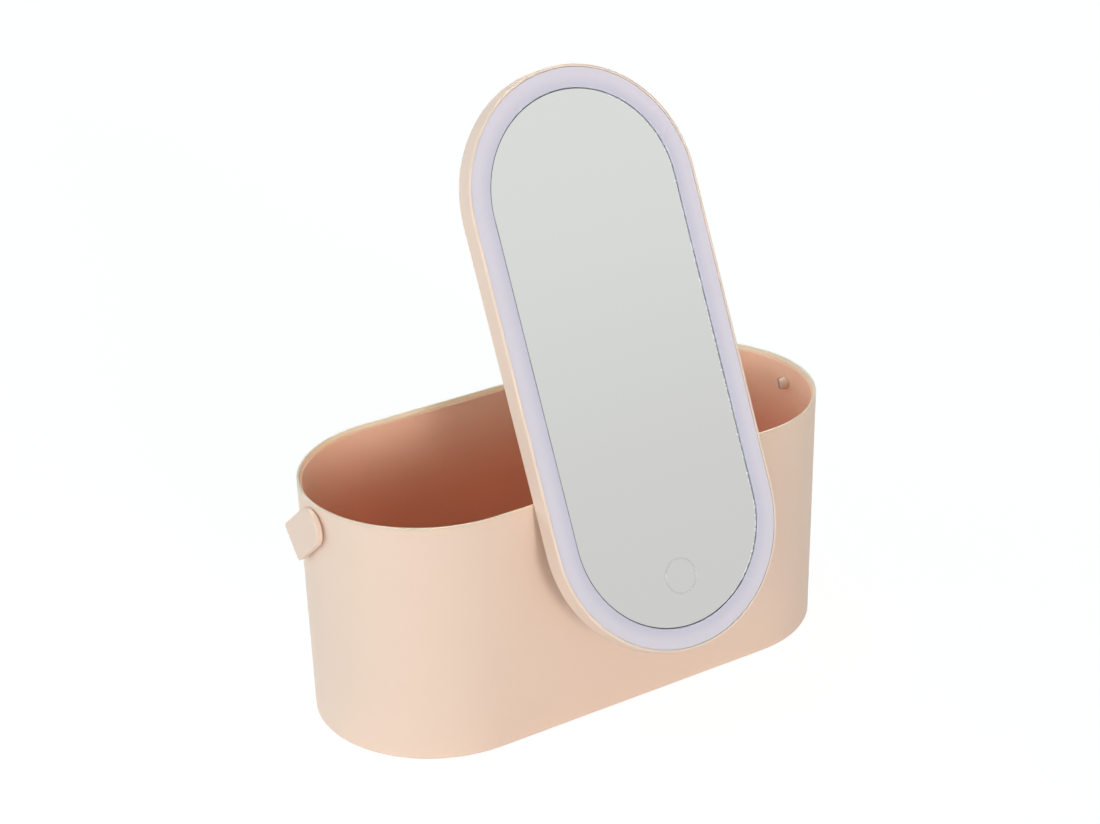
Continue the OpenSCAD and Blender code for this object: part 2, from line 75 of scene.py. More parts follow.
def camera_axes(turn, rise, roll):
    """Right, up and back of a camera that looks from that direction."""
    back = Vector((math.sin(turn) * math.cos(rise), -math.cos(turn) * math.cos(rise), math.sin(rise)))
    right = Vector((math.cos(turn), math.sin(turn), 0))
    up = back.cross(right)
    return (right * math.cos(roll) + up * math.sin(roll),
            up * math.cos(roll) - right * math.sin(roll), back)


def place_camera():
    data = bpy.data.cameras.new("studio_camera")
    data.sensor_width = SENSOR_WIDTH
    data.lens = FOCAL_LENGTH / IMAGE_WIDTH * SENSOR_WIDTH
    data.clip_start = 10 * MM
    camera = bpy.data.objects.new("studio_camera", data)
    scene.collection.objects.link(camera)
    axes = camera_axes(VIEW_TURN, VIEW_RISE, VIEW_ROLL)
    camera.matrix_world = Matrix(axes).transposed().to_4x4()
    camera.location = VIEW_TARGET + axes[2] * VIEW_DISTANCE
    scene.camera = camera
    return camera


camera = place_camera()
print("the lens is %.1f mm" % camera.data.lens)

# %% [markdown]
# ## Building node trees in a script
#
# Finishes and Geometry Nodes are both graphs. Small helpers keep them short: one adds a node with its
# settings and inputs, where an input may be a value or another node's output, a few work on numbers
# and vectors, one makes a group with named sockets, and one ends a Geometry Nodes tree.

# %% Helpers for node trees
SOCKETS = {"float": "NodeSocketFloat", "int": "NodeSocketInt", "colour": "NodeSocketColor",
           "vector": "NodeSocketVector", "geometry": "NodeSocketGeometry",
           "material": "NodeSocketMaterial", "object": "NodeSocketObject"}


def feed(tree, node, values):
    """Sets a node's inputs. values is {socket name or number: value or output}."""
    for name, value in values.items():
        if isinstance(value, bpy.types.NodeSocket):
            tree.links.new(value, node.inputs[name])
        else:
            node.inputs[name].default_value = value


def add(tree, kind, inputs=None, **settings):
    """Adds a node with its settings and with its inputs, as feed takes them."""
    node = tree.nodes.new(kind)
    for name, value in settings.items():
        setattr(node, name, value)
    feed(tree, node, inputs or {})
    return node


def maths(tree, operation, a, b=0.0, c=0.0):
    """The result of one step of arithmetic on numbers."""
    return add(tree, "ShaderNodeMath", {0: a, 1: b, 2: c}, operation=operation).outputs[0]


def vectors(tree, operation, a, b=(0, 0, 0), scale=1.0):
    """The result of one step of arithmetic on vectors. A length or a dot product is a number."""
    made = add(tree, "ShaderNodeVectorMath", {0: a, 1: b, 3: scale}, operation=operation)
    return made.outputs["Value" if operation in ("LENGTH", "DOT_PRODUCT") else "Vector"]


def parts_of(tree, vector):
    """A vector's three numbers."""
    return add(tree, "ShaderNodeSeparateXYZ", {0: vector}).outputs


def as_vector(tree, x=0.0, y=0.0, z=0.0):
    """A vector from its three numbers."""
    return add(tree, "ShaderNodeCombineXYZ", {0: x, 1: y, 2: z}).outputs[0]


def new_group(name, kind, inputs, outputs):
    """A node group and the outputs of its Group Input. inputs and outputs are {name: socket type}."""
    tree = bpy.data.node_groups.new(name, kind)
    for way, sockets in (("INPUT", inputs), ("OUTPUT", outputs)):
        for socket, form in sockets.items():
            tree.interface.new_socket(socket, in_out=way, socket_type=SOCKETS[form])
    return tree, tree.nodes.new("NodeGroupInput").outputs


def give_out(tree, geometry, material):
    """Ends a Geometry Nodes tree: what it made becomes real geometry and is painted."""
    real = add(tree, "GeometryNodeRealizeInstances", {"Geometry": geometry}).outputs[0]
    painted = add(tree, "GeometryNodeSetMaterial", {"Geometry": real, "Material": material})
    add(tree, "NodeGroupOutput", {"Geometry": painted.outputs[0]})
    return tree


print("node helpers are ready")

# %% [markdown]
# ## A profile carried round a pill
#
# The bin, the lid and the light ring share one rule: a profile, drawn as distance from the middle
# line and height, is carried round a pill. A pill is two half circles joined by straights. Turning
# and bridging by hand would do for one piece, but the rule is the same for all of them, so one
# Geometry Nodes tree does it. It makes a grid with a column for each place round the pill and a row
# for each point of the profile, and moves each point of the grid where the rule puts it.
# Sharp edges stay sharp and the rest is shaded smooth.

# %% The tree that carries a profile round a pill
TOUCHING = 1e-6           # metres, points closer than this are one


def smooth_by_angle(tree, geometry, limit):
    """Shades the geometry smooth, apart from edges that turn by more than the limit."""
    smooth = add(tree, "GeometryNodeSetShadeSmooth", {"Geometry": geometry, "Shade Smooth": True})
    angle = add(tree, "GeometryNodeInputMeshEdgeAngle").outputs["Unsigned Angle"]
    sharp = maths(tree, "GREATER_THAN", angle, limit)
    return add(tree, "GeometryNodeSetShadeSmooth",
               {"Geometry": smooth.outputs[0], "Selection": sharp, "Shade Smooth": False},
               domain="EDGE").outputs[0]


def pill_tree():
    tree, given = new_group(
        "profile round a pill", "GeometryNodeTree",
        {"Profile": "geometry", "Half Length": "float", "Arc Steps": "int", "Closed": "int",
         "Sharp Angle": "float", "Material": "material"}, {"Geometry": "geometry"})
    count = add(tree, "GeometryNodeAttributeDomainSize", {0: given["Profile"]}).outputs["Point Count"]
    rows = maths(tree, "ADD", count, given["Closed"])
    side_points = maths(tree, "ADD", given["Arc Steps"], 1)
    round_points = maths(tree, "MULTIPLY", side_points, 2)
    grid = add(tree, "GeometryNodeMeshGrid", {"Size X": 1.0, "Size Y": 1.0,
               "Vertices X": maths(tree, "ADD", round_points, 1), "Vertices Y": rows}).outputs[0]
    index = add(tree, "GeometryNodeInputIndex").outputs[0]
    column = maths(tree, "FLOOR", maths(tree, "DIVIDE", maths(tree, "ADD", index, 0.5), rows))
    row = maths(tree, "SUBTRACT", index, maths(tree, "MULTIPLY", column, rows))
    row = maths(tree, "FLOOR", maths(tree, "ADD", maths(tree, "FLOORED_MODULO", row, count), 0.5))
    place = maths(tree, "FLOORED_MODULO", column, round_points)
    far_side = maths(tree, "GREATER_THAN", place, given["Arc Steps"])
    step = maths(tree, "SUBTRACT", place, maths(tree, "MULTIPLY", far_side, side_points))
    turn = maths(tree, "MULTIPLY", maths(tree, "DIVIDE", step, given["Arc Steps"]), math.pi)
    turn = maths(tree, "ADD", turn, maths(tree, "MULTIPLY_ADD", far_side, math.pi, -math.pi / 2))
    shift = maths(tree, "MULTIPLY", given["Half Length"], maths(tree, "MULTIPLY_ADD", far_side, -2, 1))
    spot = add(tree, "GeometryNodeInputPosition").outputs[0]
    drawn = add(tree, "GeometryNodeSampleIndex", {"Geometry": given["Profile"], "Index": row},
                data_type="FLOAT_VECTOR")
    tree.links.new(spot, drawn.inputs["Value"])
    parts = parts_of(tree, drawn.outputs[0])
    x = maths(tree, "MULTIPLY_ADD", maths(tree, "COSINE", turn), parts[0], shift)
    y = maths(tree, "MULTIPLY", maths(tree, "SINE", turn), parts[0])
    where = as_vector(tree, x, y, parts[2])
    moved = add(tree, "GeometryNodeSetPosition", {"Geometry": grid, "Position": where}).outputs[0]
    joined = add(tree, "GeometryNodeMergeByDistance", {"Geometry": moved, "Distance": TOUCHING})
    smooth = smooth_by_angle(tree, joined.outputs[0], given["Sharp Angle"])
    return give_out(tree, smooth, given["Material"])


PILL_TREE = pill_tree()
print("the pill tree has", len(PILL_TREE.nodes), "nodes")

# %% [markdown]
# ## Rounded profiles
#
# Moulded plastic has no knife edges. Each profile is a list of corners, and each corner says how far
# it is rounded. A short function replaces a corner by an arc that touches both of its sides. The
# result of a modifier is turned into a plain mesh, so that what follows works on real points.

# %% Helpers for profiles and finished meshes
ARC_STEP = math.radians(15)   # the longest step of an arc in a profile
ROUND_STEPS = 64              # steps round each half circle of a pill
SHARP_TURN = math.radians(40)


def rounded(corners, closed):
    """Points of a profile whose corners are (distance, height, rounding) in millimetres."""
    points = []
    count = len(corners)
    for i, (x, z, radius) in enumerate(corners):
        here = Vector((x, z))
        if radius == 0 or (not closed and i in (0, count - 1)):
            points.append(here)
            continue
        before = (Vector(corners[i - 1][:2]) - here).normalized()
        after = (Vector(corners[(i + 1) % count][:2]) - here).normalized()
        half = before.angle(after) / 2
        centre = here + (before + after).normalized() * radius / math.sin(half)
        first = here + before * radius / math.tan(half) - centre
        last = here + after * radius / math.tan(half) - centre
        sweep = math.copysign(math.pi - 2 * half, first.cross(last))
        steps = max(2, math.ceil(abs(sweep) / ARC_STEP))
        for k in range(steps + 1):
            points.append(centre + Matrix.Rotation(sweep * k / steps, 2) @ first)
    return [Vector((p[0], 0, p[1])) * MM for p in points]


def mesh_object(name, points, edges=(), faces=()):
    mesh = bpy.data.meshes.new(name)
    mesh.from_pydata(points, edges, faces)
    thing = bpy.data.objects.new(name, mesh)
    scene.collection.objects.link(thing)
    return thing


def set_inputs(modifier, values):
    """Sets a Geometry Nodes modifier's inputs, each by its socket's identifier."""
    sockets = {s.name: s.identifier for s in modifier.node_group.interface.items_tree
               if s.in_out == "INPUT"}
    for name, value in values.items():
        modifier[sockets[name]] = value


def freeze(thing):
    """Turns what the modifiers make into the object's own plain mesh."""
    graph = bpy.context.evaluated_depsgraph_get()
    made = bpy.data.meshes.new_from_object(thing.evaluated_get(graph), depsgraph=graph)
    thing.modifiers.clear()
    thing.data = made
    return thing


def pill(name, corners, half, material, closed=False, place=Matrix.Identity(4), steps=ROUND_STEPS):
    """A solid whose profile is carried round a pill of that half length, or a turned one at 0."""
    thing = mesh_object(name, rounded(corners, closed))
    modifier = thing.modifiers.new("pill", "NODES")
    modifier.node_group = PILL_TREE
    set_inputs(modifier, {"Half Length": half * MM, "Arc Steps": steps, "Closed": int(closed),
                          "Sharp Angle": SHARP_TURN, "Material": material})
    freeze(thing)
    thing.data.transform(place)
    return thing


print("profile helpers are ready")

# %% [markdown]
# ## Where the lid hangs
#
# The lid's pieces are drawn flat, with Y up the lid, Z out of the mirror and the lip at height 0.
# One matrix leans them back and hangs them on the rim. It is worked out from the sheet of tape behind
# the glass, whose two faces lie at known depths below the lip, so it follows the frame's own lid.

# %% The bin's and the lid's own axes
LID_TILT = math.radians(23.8)
TAPE_TOP = 2.9       # depths below the lip, in millimetres
TAPE_UNDER = 3.3
pad_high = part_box("base_pad")[1]
SPINE = round((pad_high.x - pad_high.y) / MM, 1)     # half of the pill's straight
RIM_R = round(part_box("box_shell")[1].y / MM, 2)
RIM_Z = round(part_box("box_shell")[1].z / MM, 2)

lid_turn = Euler((math.pi / 2 - LID_TILT, 0, 0))
tape_low, tape_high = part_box("mirror_tape")
tape_middle = Vector((0, 0, -(TAPE_TOP + TAPE_UNDER) / 2 * MM))
tape_middle.rotate(lid_turn)
lid_origin = (tape_low + tape_high) / 2 - tape_middle
LID_PLACE = Matrix.Translation(lid_origin) @ lid_turn.to_matrix().to_4x4()
ALONG_LID = LID_PLACE @ Matrix.Rotation(math.pi / 2, 4, "Z")
print("the lid hangs at", [round(v / MM, 2) for v in lid_origin], "mm")

# %% [markdown]
# ## Effects that several finishes share
#
# Every plastic here has the same moulded skin: a fine grain that softens the gloss, and a slow
# drift of tone. A second group measures places on a pill: the distance from its middle line, the
# way along it and the depth, which finishes use to tell an edge from a face. Both are node groups
# with named inputs, so each finish sets its own values.

# %% Shader groups
GRAIN_SWING = 0.12       # how far the grain moves the roughness


def object_place(tree):
    """The place on the object, in its own axes."""
    return add(tree, "ShaderNodeTexCoord").outputs["Object"]


def noise(tree, where, scale, detail, roughness=0.5):
    """Noise from 0 to 1, around a half."""
    return add(tree, "ShaderNodeTexNoise", {"Vector": where, "Scale": scale, "Detail": detail,
                                            "Roughness": roughness}).outputs["Fac"]


def skin_group():
    tree, given = new_group("moulded skin", "ShaderNodeTree",
                            {"Colour": "colour", "Drift": "float", "Drift Size": "float",
                             "Roughness": "float", "Grain Size": "float", "Grain Depth": "float"},
                            {"Colour": "colour", "Roughness": "float", "Normal": "vector"})
    spot = object_place(tree)
    broad = noise(tree, spot, maths(tree, "DIVIDE", 1.0, given["Drift Size"]), 2.0)
    fine = noise(tree, spot, maths(tree, "DIVIDE", 1.0, given["Grain Size"]), 3.0, 0.6)
    swing = maths(tree, "MULTIPLY", maths(tree, "SUBTRACT", broad, 0.5), given["Drift"])
    colour = vectors(tree, "SCALE", given["Colour"], scale=maths(tree, "ADD", 1.0, swing))
    grain = maths(tree, "SUBTRACT", fine, 0.5)
    rough = maths(tree, "MULTIPLY_ADD", grain, GRAIN_SWING, given["Roughness"])
    bump = add(tree, "ShaderNodeBump", {"Strength": 1.0, "Distance": given["Grain Depth"],
                                        "Height": fine}).outputs[0]
    add(tree, "NodeGroupOutput", {"Colour": colour, "Roughness": rough, "Normal": bump})
    return tree


def pill_place_group():
    tree, given = new_group("place on a pill", "ShaderNodeTree",
                            {"Origin": "vector", "Turn": "vector", "Half Length": "float"},
                            {"Distance": "float", "Place": "vector"})
    local = add(tree, "ShaderNodeMapping", {"Vector": object_place(tree), "Location": given["Origin"],
                "Rotation": given["Turn"]}, vector_type="TEXTURE").outputs[0]
    parts = parts_of(tree, local)
    past = maths(tree, "SUBTRACT", maths(tree, "ABSOLUTE", parts[1]), given["Half Length"])
    away = vectors(tree, "LENGTH", as_vector(tree, parts[0], maths(tree, "MAXIMUM", past, 0.0)))
    add(tree, "NodeGroupOutput", {"Distance": away, "Place": local})
    return tree


SKIN = skin_group()
PILL_PLACE = pill_place_group()
print("shader groups:", SKIN.name, "and", PILL_PLACE.name)


# %% Helpers for finishes
def ramp(tree, value, low, high, at_low=0.0, at_high=1.0):
    """A value that eases from at_low to at_high as the first one goes from low to high."""
    return add(tree, "ShaderNodeMapRange", {"Value": value, "From Min": low, "From Max": high,
               "To Min": at_low, "To Max": at_high}, interpolation_type="SMOOTHSTEP").outputs[0]


def ramp_mm(tree, value, low, high, *ends):
    """The same with low and high in millimetres."""
    return ramp(tree, value, low * MM, high * MM, *ends)


def rgba(colour):
    """A colour with its alpha. An output passes as it is."""
    return colour if isinstance(colour, bpy.types.NodeSocket) else (*colour, 1)


def blend(tree, share, first, second):
    """A mix of two colours."""
    return add(tree, "ShaderNodeMix", {"Factor": share, 6: rgba(first), 7: rgba(second)},
               data_type="RGBA").outputs[2]


def finish(name, roughness=0.5, metallic=0.0, ior=1.46, coat=0.0):
    """A new material with its tree and its Principled shader."""
    made = bpy.data.materials.new(name)
    made.use_nodes = True
    tree = made.node_tree
    shader = tree.nodes["Principled BSDF"]
    feed(tree, shader, {"Roughness": roughness, "Metallic": metallic, "IOR": ior, "Coat Weight": coat})
    return made, tree, shader


def lay_skin(tree, shader, colour, roughness, grain=0.35, depth=0.006, drift=0.03, size=40):
    """Lays the moulded skin on a shader. Grain, depth and size are in millimetres."""
    skin = add(tree, "ShaderNodeGroup", {
        "Colour": rgba(colour), "Drift": drift, "Drift Size": size * MM, "Roughness": roughness,
        "Grain Size": grain * MM, "Grain Depth": depth * MM}, node_tree=SKIN).outputs
    feed(tree, shader, {"Base Color": skin["Colour"], "Roughness": skin["Roughness"],
                        "Normal": skin["Normal"]})


def measure(tree, origin=(0, 0, 0), turn=(0, 0, math.pi / 2)):
    """Distance from the pill's middle line, and the place in the pill's own axes."""
    made = add(tree, "ShaderNodeGroup", {"Origin": origin, "Turn": turn, "Half Length": SPINE * MM},
               node_tree=PILL_PLACE).outputs
    return made["Distance"], made["Place"]


print("finish helpers are ready")

# %% [markdown]
# ## Blush plastic
#
# The bin, the lid, the latches and the leg are one satin plastic. Seen from outside it is a pale
# blush. Inside the bin the light goes from wall to wall and takes on more of the plastic's own
# pigment each time, so the hollow looks a deep terracotta. Bounced light gives part of that, and
# the bin's finish paints the rest as shade: a warmer, darker tone that deepens below the rim, with
# painted light that makes it a little lighter in the round ends. The hollow is also duller. The rim's
# lip is so thin that light comes through it and scatters under its surface, and a paler tone on it
# is painted light. The lid's thin lip has a paler tone as well, a painted highlight.

# %% Blush plastic
BLUSH = (0.850, 0.640, 0.500)
BLUSH_INSIDE_PAINTED_SHADE = (0.870, 0.555, 0.380)     # painted shade, just below the rim
BLUSH_DEEP_PAINTED_SHADE = (0.850, 0.405, 0.260)       # painted shade, darker still, low down
DEEP_STARTS, DEEP_BY = 4, 55             # how far below the rim the painted shade starts and ends to deepen
INNER_GLOSS = 0.15                       # the hollow is duller than the outside
OUTER_GLOSS = 0.5
END_PAINTED_LIGHT = 0.13                          # painted light: the round ends are lighter inside by this share, between these places from the middle
PAINTED_LIGHT_STARTS, PAINTED_LIGHT_FULL = 45, 100         # between these places from the middle
LIP_PAINTED_LIGHT = (1.00, 0.765, 0.585)          # painted light: the rim's thin lip is paler, for the light that comes through it; it also scatters light under its surface, red the furthest
LIP_GLOW = (1.0, 0.85, 0.70)             # red the furthest
LIP_DEPTH = 2.5
LID_LIP = 0.9                            # how much of the lid's lip gets the painted highlight, from its side in
LID_LIP_PAINTED_HIGHLIGHT = (0.90, 0.745, 0.630)

WALL = 2.5
STEP_DEEP = 2.5
DRAFT = 1.9                              # how far each side draws in from rim to base
SHELL_FOOT = 0.5                         # the underside's height above the table
WALL_SLOPE = DRAFT / (RIM_Z - SHELL_FOOT)
WALL_FADE = 0.1                          # how softly one tone gives way to another, in the wall, in the floor, and above the step, where the hollow's painted shade ends and the lip's painted light begins
FLOOR_FADE = (2, 3)                      # in the floor,
STEP_FADE = (-0.1, 0.7)                  # and above the step, where the hollow's tone ends
LIP_FADE = (0.2, 0.9)                    # and the lip's begins


def blush_plastic():
    made, tree, shader = finish("blush_plastic")
    lay_skin(tree, shader, BLUSH, 0.48)
    return made


def bin_plastic():
    made, tree, shader = finish("blush_plastic_bin")
    away, place = measure(tree)
    parts = parts_of(tree, place)
    along, height = maths(tree, "ABSOLUTE", parts[1]), parts[2]
    at_table = RIM_R - WALL / 2 - WALL_SLOPE * RIM_Z
    middle = maths(tree, "MULTIPLY_ADD", height, WALL_SLOPE, at_table * MM)
    within = ramp_mm(tree, maths(tree, "SUBTRACT", middle, away), -WALL_FADE, WALL_FADE)
    above = ramp_mm(tree, height, *FLOOR_FADE)
    step = RIM_Z - STEP_DEEP
    below = ramp_mm(tree, height, step + STEP_FADE[0], step + STEP_FADE[1], 1.0, 0.0)
    hollow = maths(tree, "MULTIPLY", maths(tree, "MULTIPLY", within, below), above)
    # painted shade: the hollow's tone darkens from just below the rim to low down
    deep = ramp_mm(tree, height, RIM_Z - DEEP_BY, RIM_Z - DEEP_STARTS, 1.0, 0.0)
    # painted light: the hollow's tone is lighter towards the round ends
    glow = ramp_mm(tree, along, PAINTED_LIGHT_STARTS, PAINTED_LIGHT_FULL, 1.0, 1 + END_PAINTED_LIGHT)
    inner = vectors(tree, "SCALE", blend(tree, deep, BLUSH_INSIDE_PAINTED_SHADE, BLUSH_DEEP_PAINTED_SHADE), scale=glow)
    # painted light on the rim's thin lip; the same mask sets its real subsurface scatter
    lip = ramp_mm(tree, height, step + LIP_FADE[0], step + LIP_FADE[1])
    facing_in = ramp_mm(tree, away, RIM_R - 0.5, RIM_R - 0.2, 1.0, 0.0)
    outer = blend(tree, maths(tree, "MULTIPLY", lip, facing_in), BLUSH, LIP_PAINTED_LIGHT)
    lay_skin(tree, shader, blend(tree, hollow, outer, inner), 0.46)
    gloss = ramp(tree, hollow, 0.0, 1.0, OUTER_GLOSS, INNER_GLOSS)
    feed(tree, shader, {"Specular IOR Level": gloss, "Subsurface Weight": lip,
                        "Subsurface Radius": LIP_GLOW, "Subsurface Scale": LIP_DEPTH * MM})
    return made


def lid_plastic():
    """Blush plastic with a painted highlight, a paler tone, on the thin lip round the light ring."""
    made, tree, shader = finish("blush_plastic_lid")
    away, place = measure(tree, lid_origin, lid_turn)
    # painted highlight: the lid's thin front lip is paler
    front = ramp_mm(tree, parts_of(tree, place)[2], -0.5, -0.1)
    thin = ramp_mm(tree, away, RIM_R - LID_LIP, RIM_R - LID_LIP + 0.4, 1.0, 0.0)
    lay_skin(tree, shader, blend(tree, maths(tree, "MULTIPLY", front, thin), BLUSH, LID_LIP_PAINTED_HIGHLIGHT), 0.48)
    return made


blush = blush_plastic()
bin_finish = bin_plastic()
print("blush plastic is ready")

# %% [markdown]
# ## The light ring and the mirror
#
# The light ring is milky acrylic. It is off in the picture, a pale lavender with painted shade that
# darkens it slightly towards the mirror. The mirror is a sheet of glass: its face reflects the
# studio's pale walls, and a painted reflection takes its tone from lighter at the top to darker at
# the bottom. Its ground edge is dull and darker, with painted shade that darkens it more on the right,
# where fine chips carry painted glints, and a frosted circle marks the touch switch. All of that is
# laid out with the pill group's distance and place, so it stays on the glass from any side.

# %% Milky acrylic and silvered glass
RING_IN = 51.65
RING_OUT = 61.45
RING_FADE = 7                         # how far out from the mirror the painted shade darkens the ring
MIRROR_R = 51.35
SILVER_ENDS = 125                     # the painted reflection goes from its low to its high tone between these heights
TOUCH_Y = -106.85
TOUCH_R = 8.5
TOUCH_LINE = (0.42, 0.6)              # where the printed line fades out, from its middle
MILKY_OUT = (0.785, 0.730, 0.790)
MILKY_IN_PAINTED_SHADE = (0.675, 0.642, 0.735)
# painted reflection: the mirror face's tone at the top and at the bottom
SILVER_HIGH_PAINTED_REFLECTION = (0.690, 0.712, 0.685)
SILVER_LOW_PAINTED_REFLECTION = (0.607, 0.607, 0.592)
EDGE_TONE = (0.24, 0.24, 0.27)        # the ground edge of the glass
EDGE_RIGHT_PAINTED_SHADE = (0.10, 0.10, 0.12)        # painted shade: the same, darker on the right, where it faces away from the light
EDGE_WIDE = 0.35
CHIP_PAINTED_GLINT = (0.86, 0.87, 0.88)        # painted glints: the white of the tiny chips in it
CHIP_SIZE = 1.6
CHIP_REACH = 0.95                     # how far they reach in from the edge
CHIP_SHARE = (0.52, 0.56)             # the noise levels between which a chip begins
FADE = 0.1                            # how softly an edge of a mask begins
TOUCH_TONE = (0.555, 0.555, 0.545)


def milky_acrylic():
    made, tree, shader = finish("milky_acrylic", ior=1.49)
    away, _ = measure(tree, lid_origin, lid_turn)
    # painted shade: the ring is darker towards the mirror
    outward = ramp_mm(tree, away, RING_IN, RING_IN + RING_FADE)
    lay_skin(tree, shader, blend(tree, outward, MILKY_IN_PAINTED_SHADE, MILKY_OUT), 0.38,
             grain=0.2, depth=0.002, drift=0.01)
    return made


def off_touch_line(tree, place):
    """How far a place on the glass is from the touch switch's circle."""
    centred = vectors(tree, "ADD", place, (0, -TOUCH_Y * MM, 0))
    reach = vectors(tree, "LENGTH", vectors(tree, "MULTIPLY", centred, (1, 1, 0)))
    return maths(tree, "ABSOLUTE", maths(tree, "SUBTRACT", reach, TOUCH_R * MM))


def silvered_glass():
    made, tree, shader = finish("silvered_glass", roughness=0.03, metallic=1.0, ior=1.52)
    away, place = measure(tree, lid_origin, lid_turn)
    parts = parts_of(tree, place)
    # painted reflection, darker towards the bottom of the glass
    face = blend(tree, ramp_mm(tree, parts[1], -SILVER_ENDS, SILVER_ENDS), SILVER_LOW_PAINTED_REFLECTION, SILVER_HIGH_PAINTED_REFLECTION)
    line = ramp_mm(tree, off_touch_line(tree, place), *TOUCH_LINE, 1.0, 0.0)
    face = blend(tree, line, face, TOUCH_TONE)
    edge = ramp_mm(tree, away, MIRROR_R - EDGE_WIDE, MIRROR_R - EDGE_WIDE + FADE)
    to_right = ramp_mm(tree, parts[0], 0, MIRROR_R)
    # chips along the right edge: their dull ground is real, their white is a painted glint
    spots = ramp(tree, noise(tree, place, 1 / (CHIP_SIZE * MM), 1.0), *CHIP_SHARE)
    fringe = ramp_mm(tree, away, MIRROR_R - CHIP_REACH, MIRROR_R - CHIP_REACH + FADE)
    chips_and_glints = maths(tree, "MULTIPLY", maths(tree, "MULTIPLY", spots, to_right), fringe)
    # painted shade darkens the ground edge on the right
    rim = blend(tree, edge, face, blend(tree, to_right, EDGE_TONE, EDGE_RIGHT_PAINTED_SHADE))
    ground = maths(tree, "MAXIMUM", edge, chips_and_glints)
    dull = maths(tree, "MAXIMUM", ground, line)
    feed(tree, shader, {"Base Color": blend(tree, chips_and_glints, rim, CHIP_PAINTED_GLINT),
                        "Roughness": ramp(tree, dull, 0.0, 1.0, 0.02, 0.3),
                        "Metallic": ramp(tree, ground, 0.0, 1.0, 1.0, 0.3)})
    return made


milky = milky_acrylic()
silver = silvered_glass()
print("light ring and mirror finishes are ready")

# %% [markdown]
# ## Finishes inside the lid and on small pieces
#
# The inner pieces show only when the lid is opened, but each has its own finish: plain mouldings
# share the skin group, metals are brushed or crumpled by a noise stretched in one direction, and
# the circuit board has its copper tracks as a faint pattern under the green.

# %% Plain mouldings, rubber and insulation
def plain(name, colour, roughness, **skin):
    made, tree, shader = finish(name)
    lay_skin(tree, shader, colour, roughness, **skin)
    return made


rubber = plain("grey_rubber", (0.10, 0.095, 0.09), 0.75, grain=0.5, depth=0.03, drift=0.1, size=12)
foam = plain("black_foam", (0.025, 0.025, 0.027), 0.9, grain=0.4, depth=0.05, drift=0.2, size=3)
white_moulding = plain("white_moulding", (0.80, 0.80, 0.79), 0.45)
chip = plain("chip_plastic", (0.022, 0.022, 0.025), 0.5, grain=0.15, depth=0.01)
red_wire = plain("red_insulation", (0.50, 0.03, 0.02), 0.42, grain=0.6, depth=0.01)
phosphor = plain("led_phosphor", (0.78, 0.72, 0.30), 0.3, grain=0.1, depth=0.004)
print("plain finishes are ready")


# %% Metals and boards
MARKS_SCALE = 900.0
MARKS_SWING = 0.06        # how far the marks move the roughness
MARKS_DARK = 0.85


def metal(name, colour, roughness, streak=(1, 1, 12), depth=0.01):
    """Metal whose fine marks run across the longest stretch of its noise."""
    made, tree, shader = finish(name, metallic=1.0)
    drawn = add(tree, "ShaderNodeMapping", {"Vector": object_place(tree), "Scale": streak}).outputs[0]
    marks = noise(tree, drawn, MARKS_SCALE, 3.0)
    bump = add(tree, "ShaderNodeBump", {"Strength": 0.6, "Distance": depth * MM, "Height": marks})
    feed(tree, shader, {
        "Base Color": blend(tree, marks, [MARKS_DARK * c for c in colour], colour),
        "Roughness": ramp(tree, marks, 0.3, 0.7, roughness - MARKS_SWING, roughness + MARKS_SWING),
        "Normal": bump.outputs[0]})
    return made


def board(name, ground, track, pitch):
    """A circuit board: tracks show through the solder mask as a lighter pattern."""
    made, tree, shader = finish(name, coat=0.5)
    cells = add(tree, "ShaderNodeTexVoronoi", {"Vector": object_place(tree), "Scale": 1 / (pitch * MM)},
                distance="CHEBYCHEV", feature="DISTANCE_TO_EDGE")
    share = ramp(tree, cells.outputs["Distance"], 0.06, 0.1, 1.0, 0.0)
    feed(tree, shader, {"Base Color": blend(tree, share, ground, track),
                        "Roughness": ramp(tree, share, 0.0, 1.0, 0.32, 0.42)})
    return made


steel = metal("bright_steel", (0.56, 0.57, 0.58), 0.3)
pouch = metal("cell_pouch", (0.60, 0.61, 0.63), 0.4, streak=(1, 1, 1), depth=0.08)
copper = metal("copper_foil", (0.72, 0.38, 0.22), 0.35)
green_board = board("green_board", (0.02, 0.16, 0.07), (0.06, 0.28, 0.12), 3.5)
white_board = board("white_board", (0.80, 0.81, 0.80), (0.72, 0.74, 0.72), 5.0)
print("metals and boards are ready")

# %% [markdown]
# ## The bin
#
# The real bin is one moulding: a drafted wall, rounded into the base, with a shallow step inside the
# rim that the closed lid's ring drops into. Its profile is drawn once, from the middle of the
# underside up the outside and down the inside, with soft corners at the step, because that is what
# catches the light along the far rim. The underside has the rebate that holds the non-slip pad.

# %% The bin's shell
FLOOR_Z = 3.3
BASE_ROUND = 1.5
RIM_LIP = 1.2
PAD_R = pad_high.y / MM
PAD_TOP = pad_high.z / MM
PAD_FIT = 0.15


def wall_r(z):
    """The wall's outer distance from the middle line at a height, in millimetres."""
    return RIM_R - WALL_SLOPE * (RIM_Z - z)


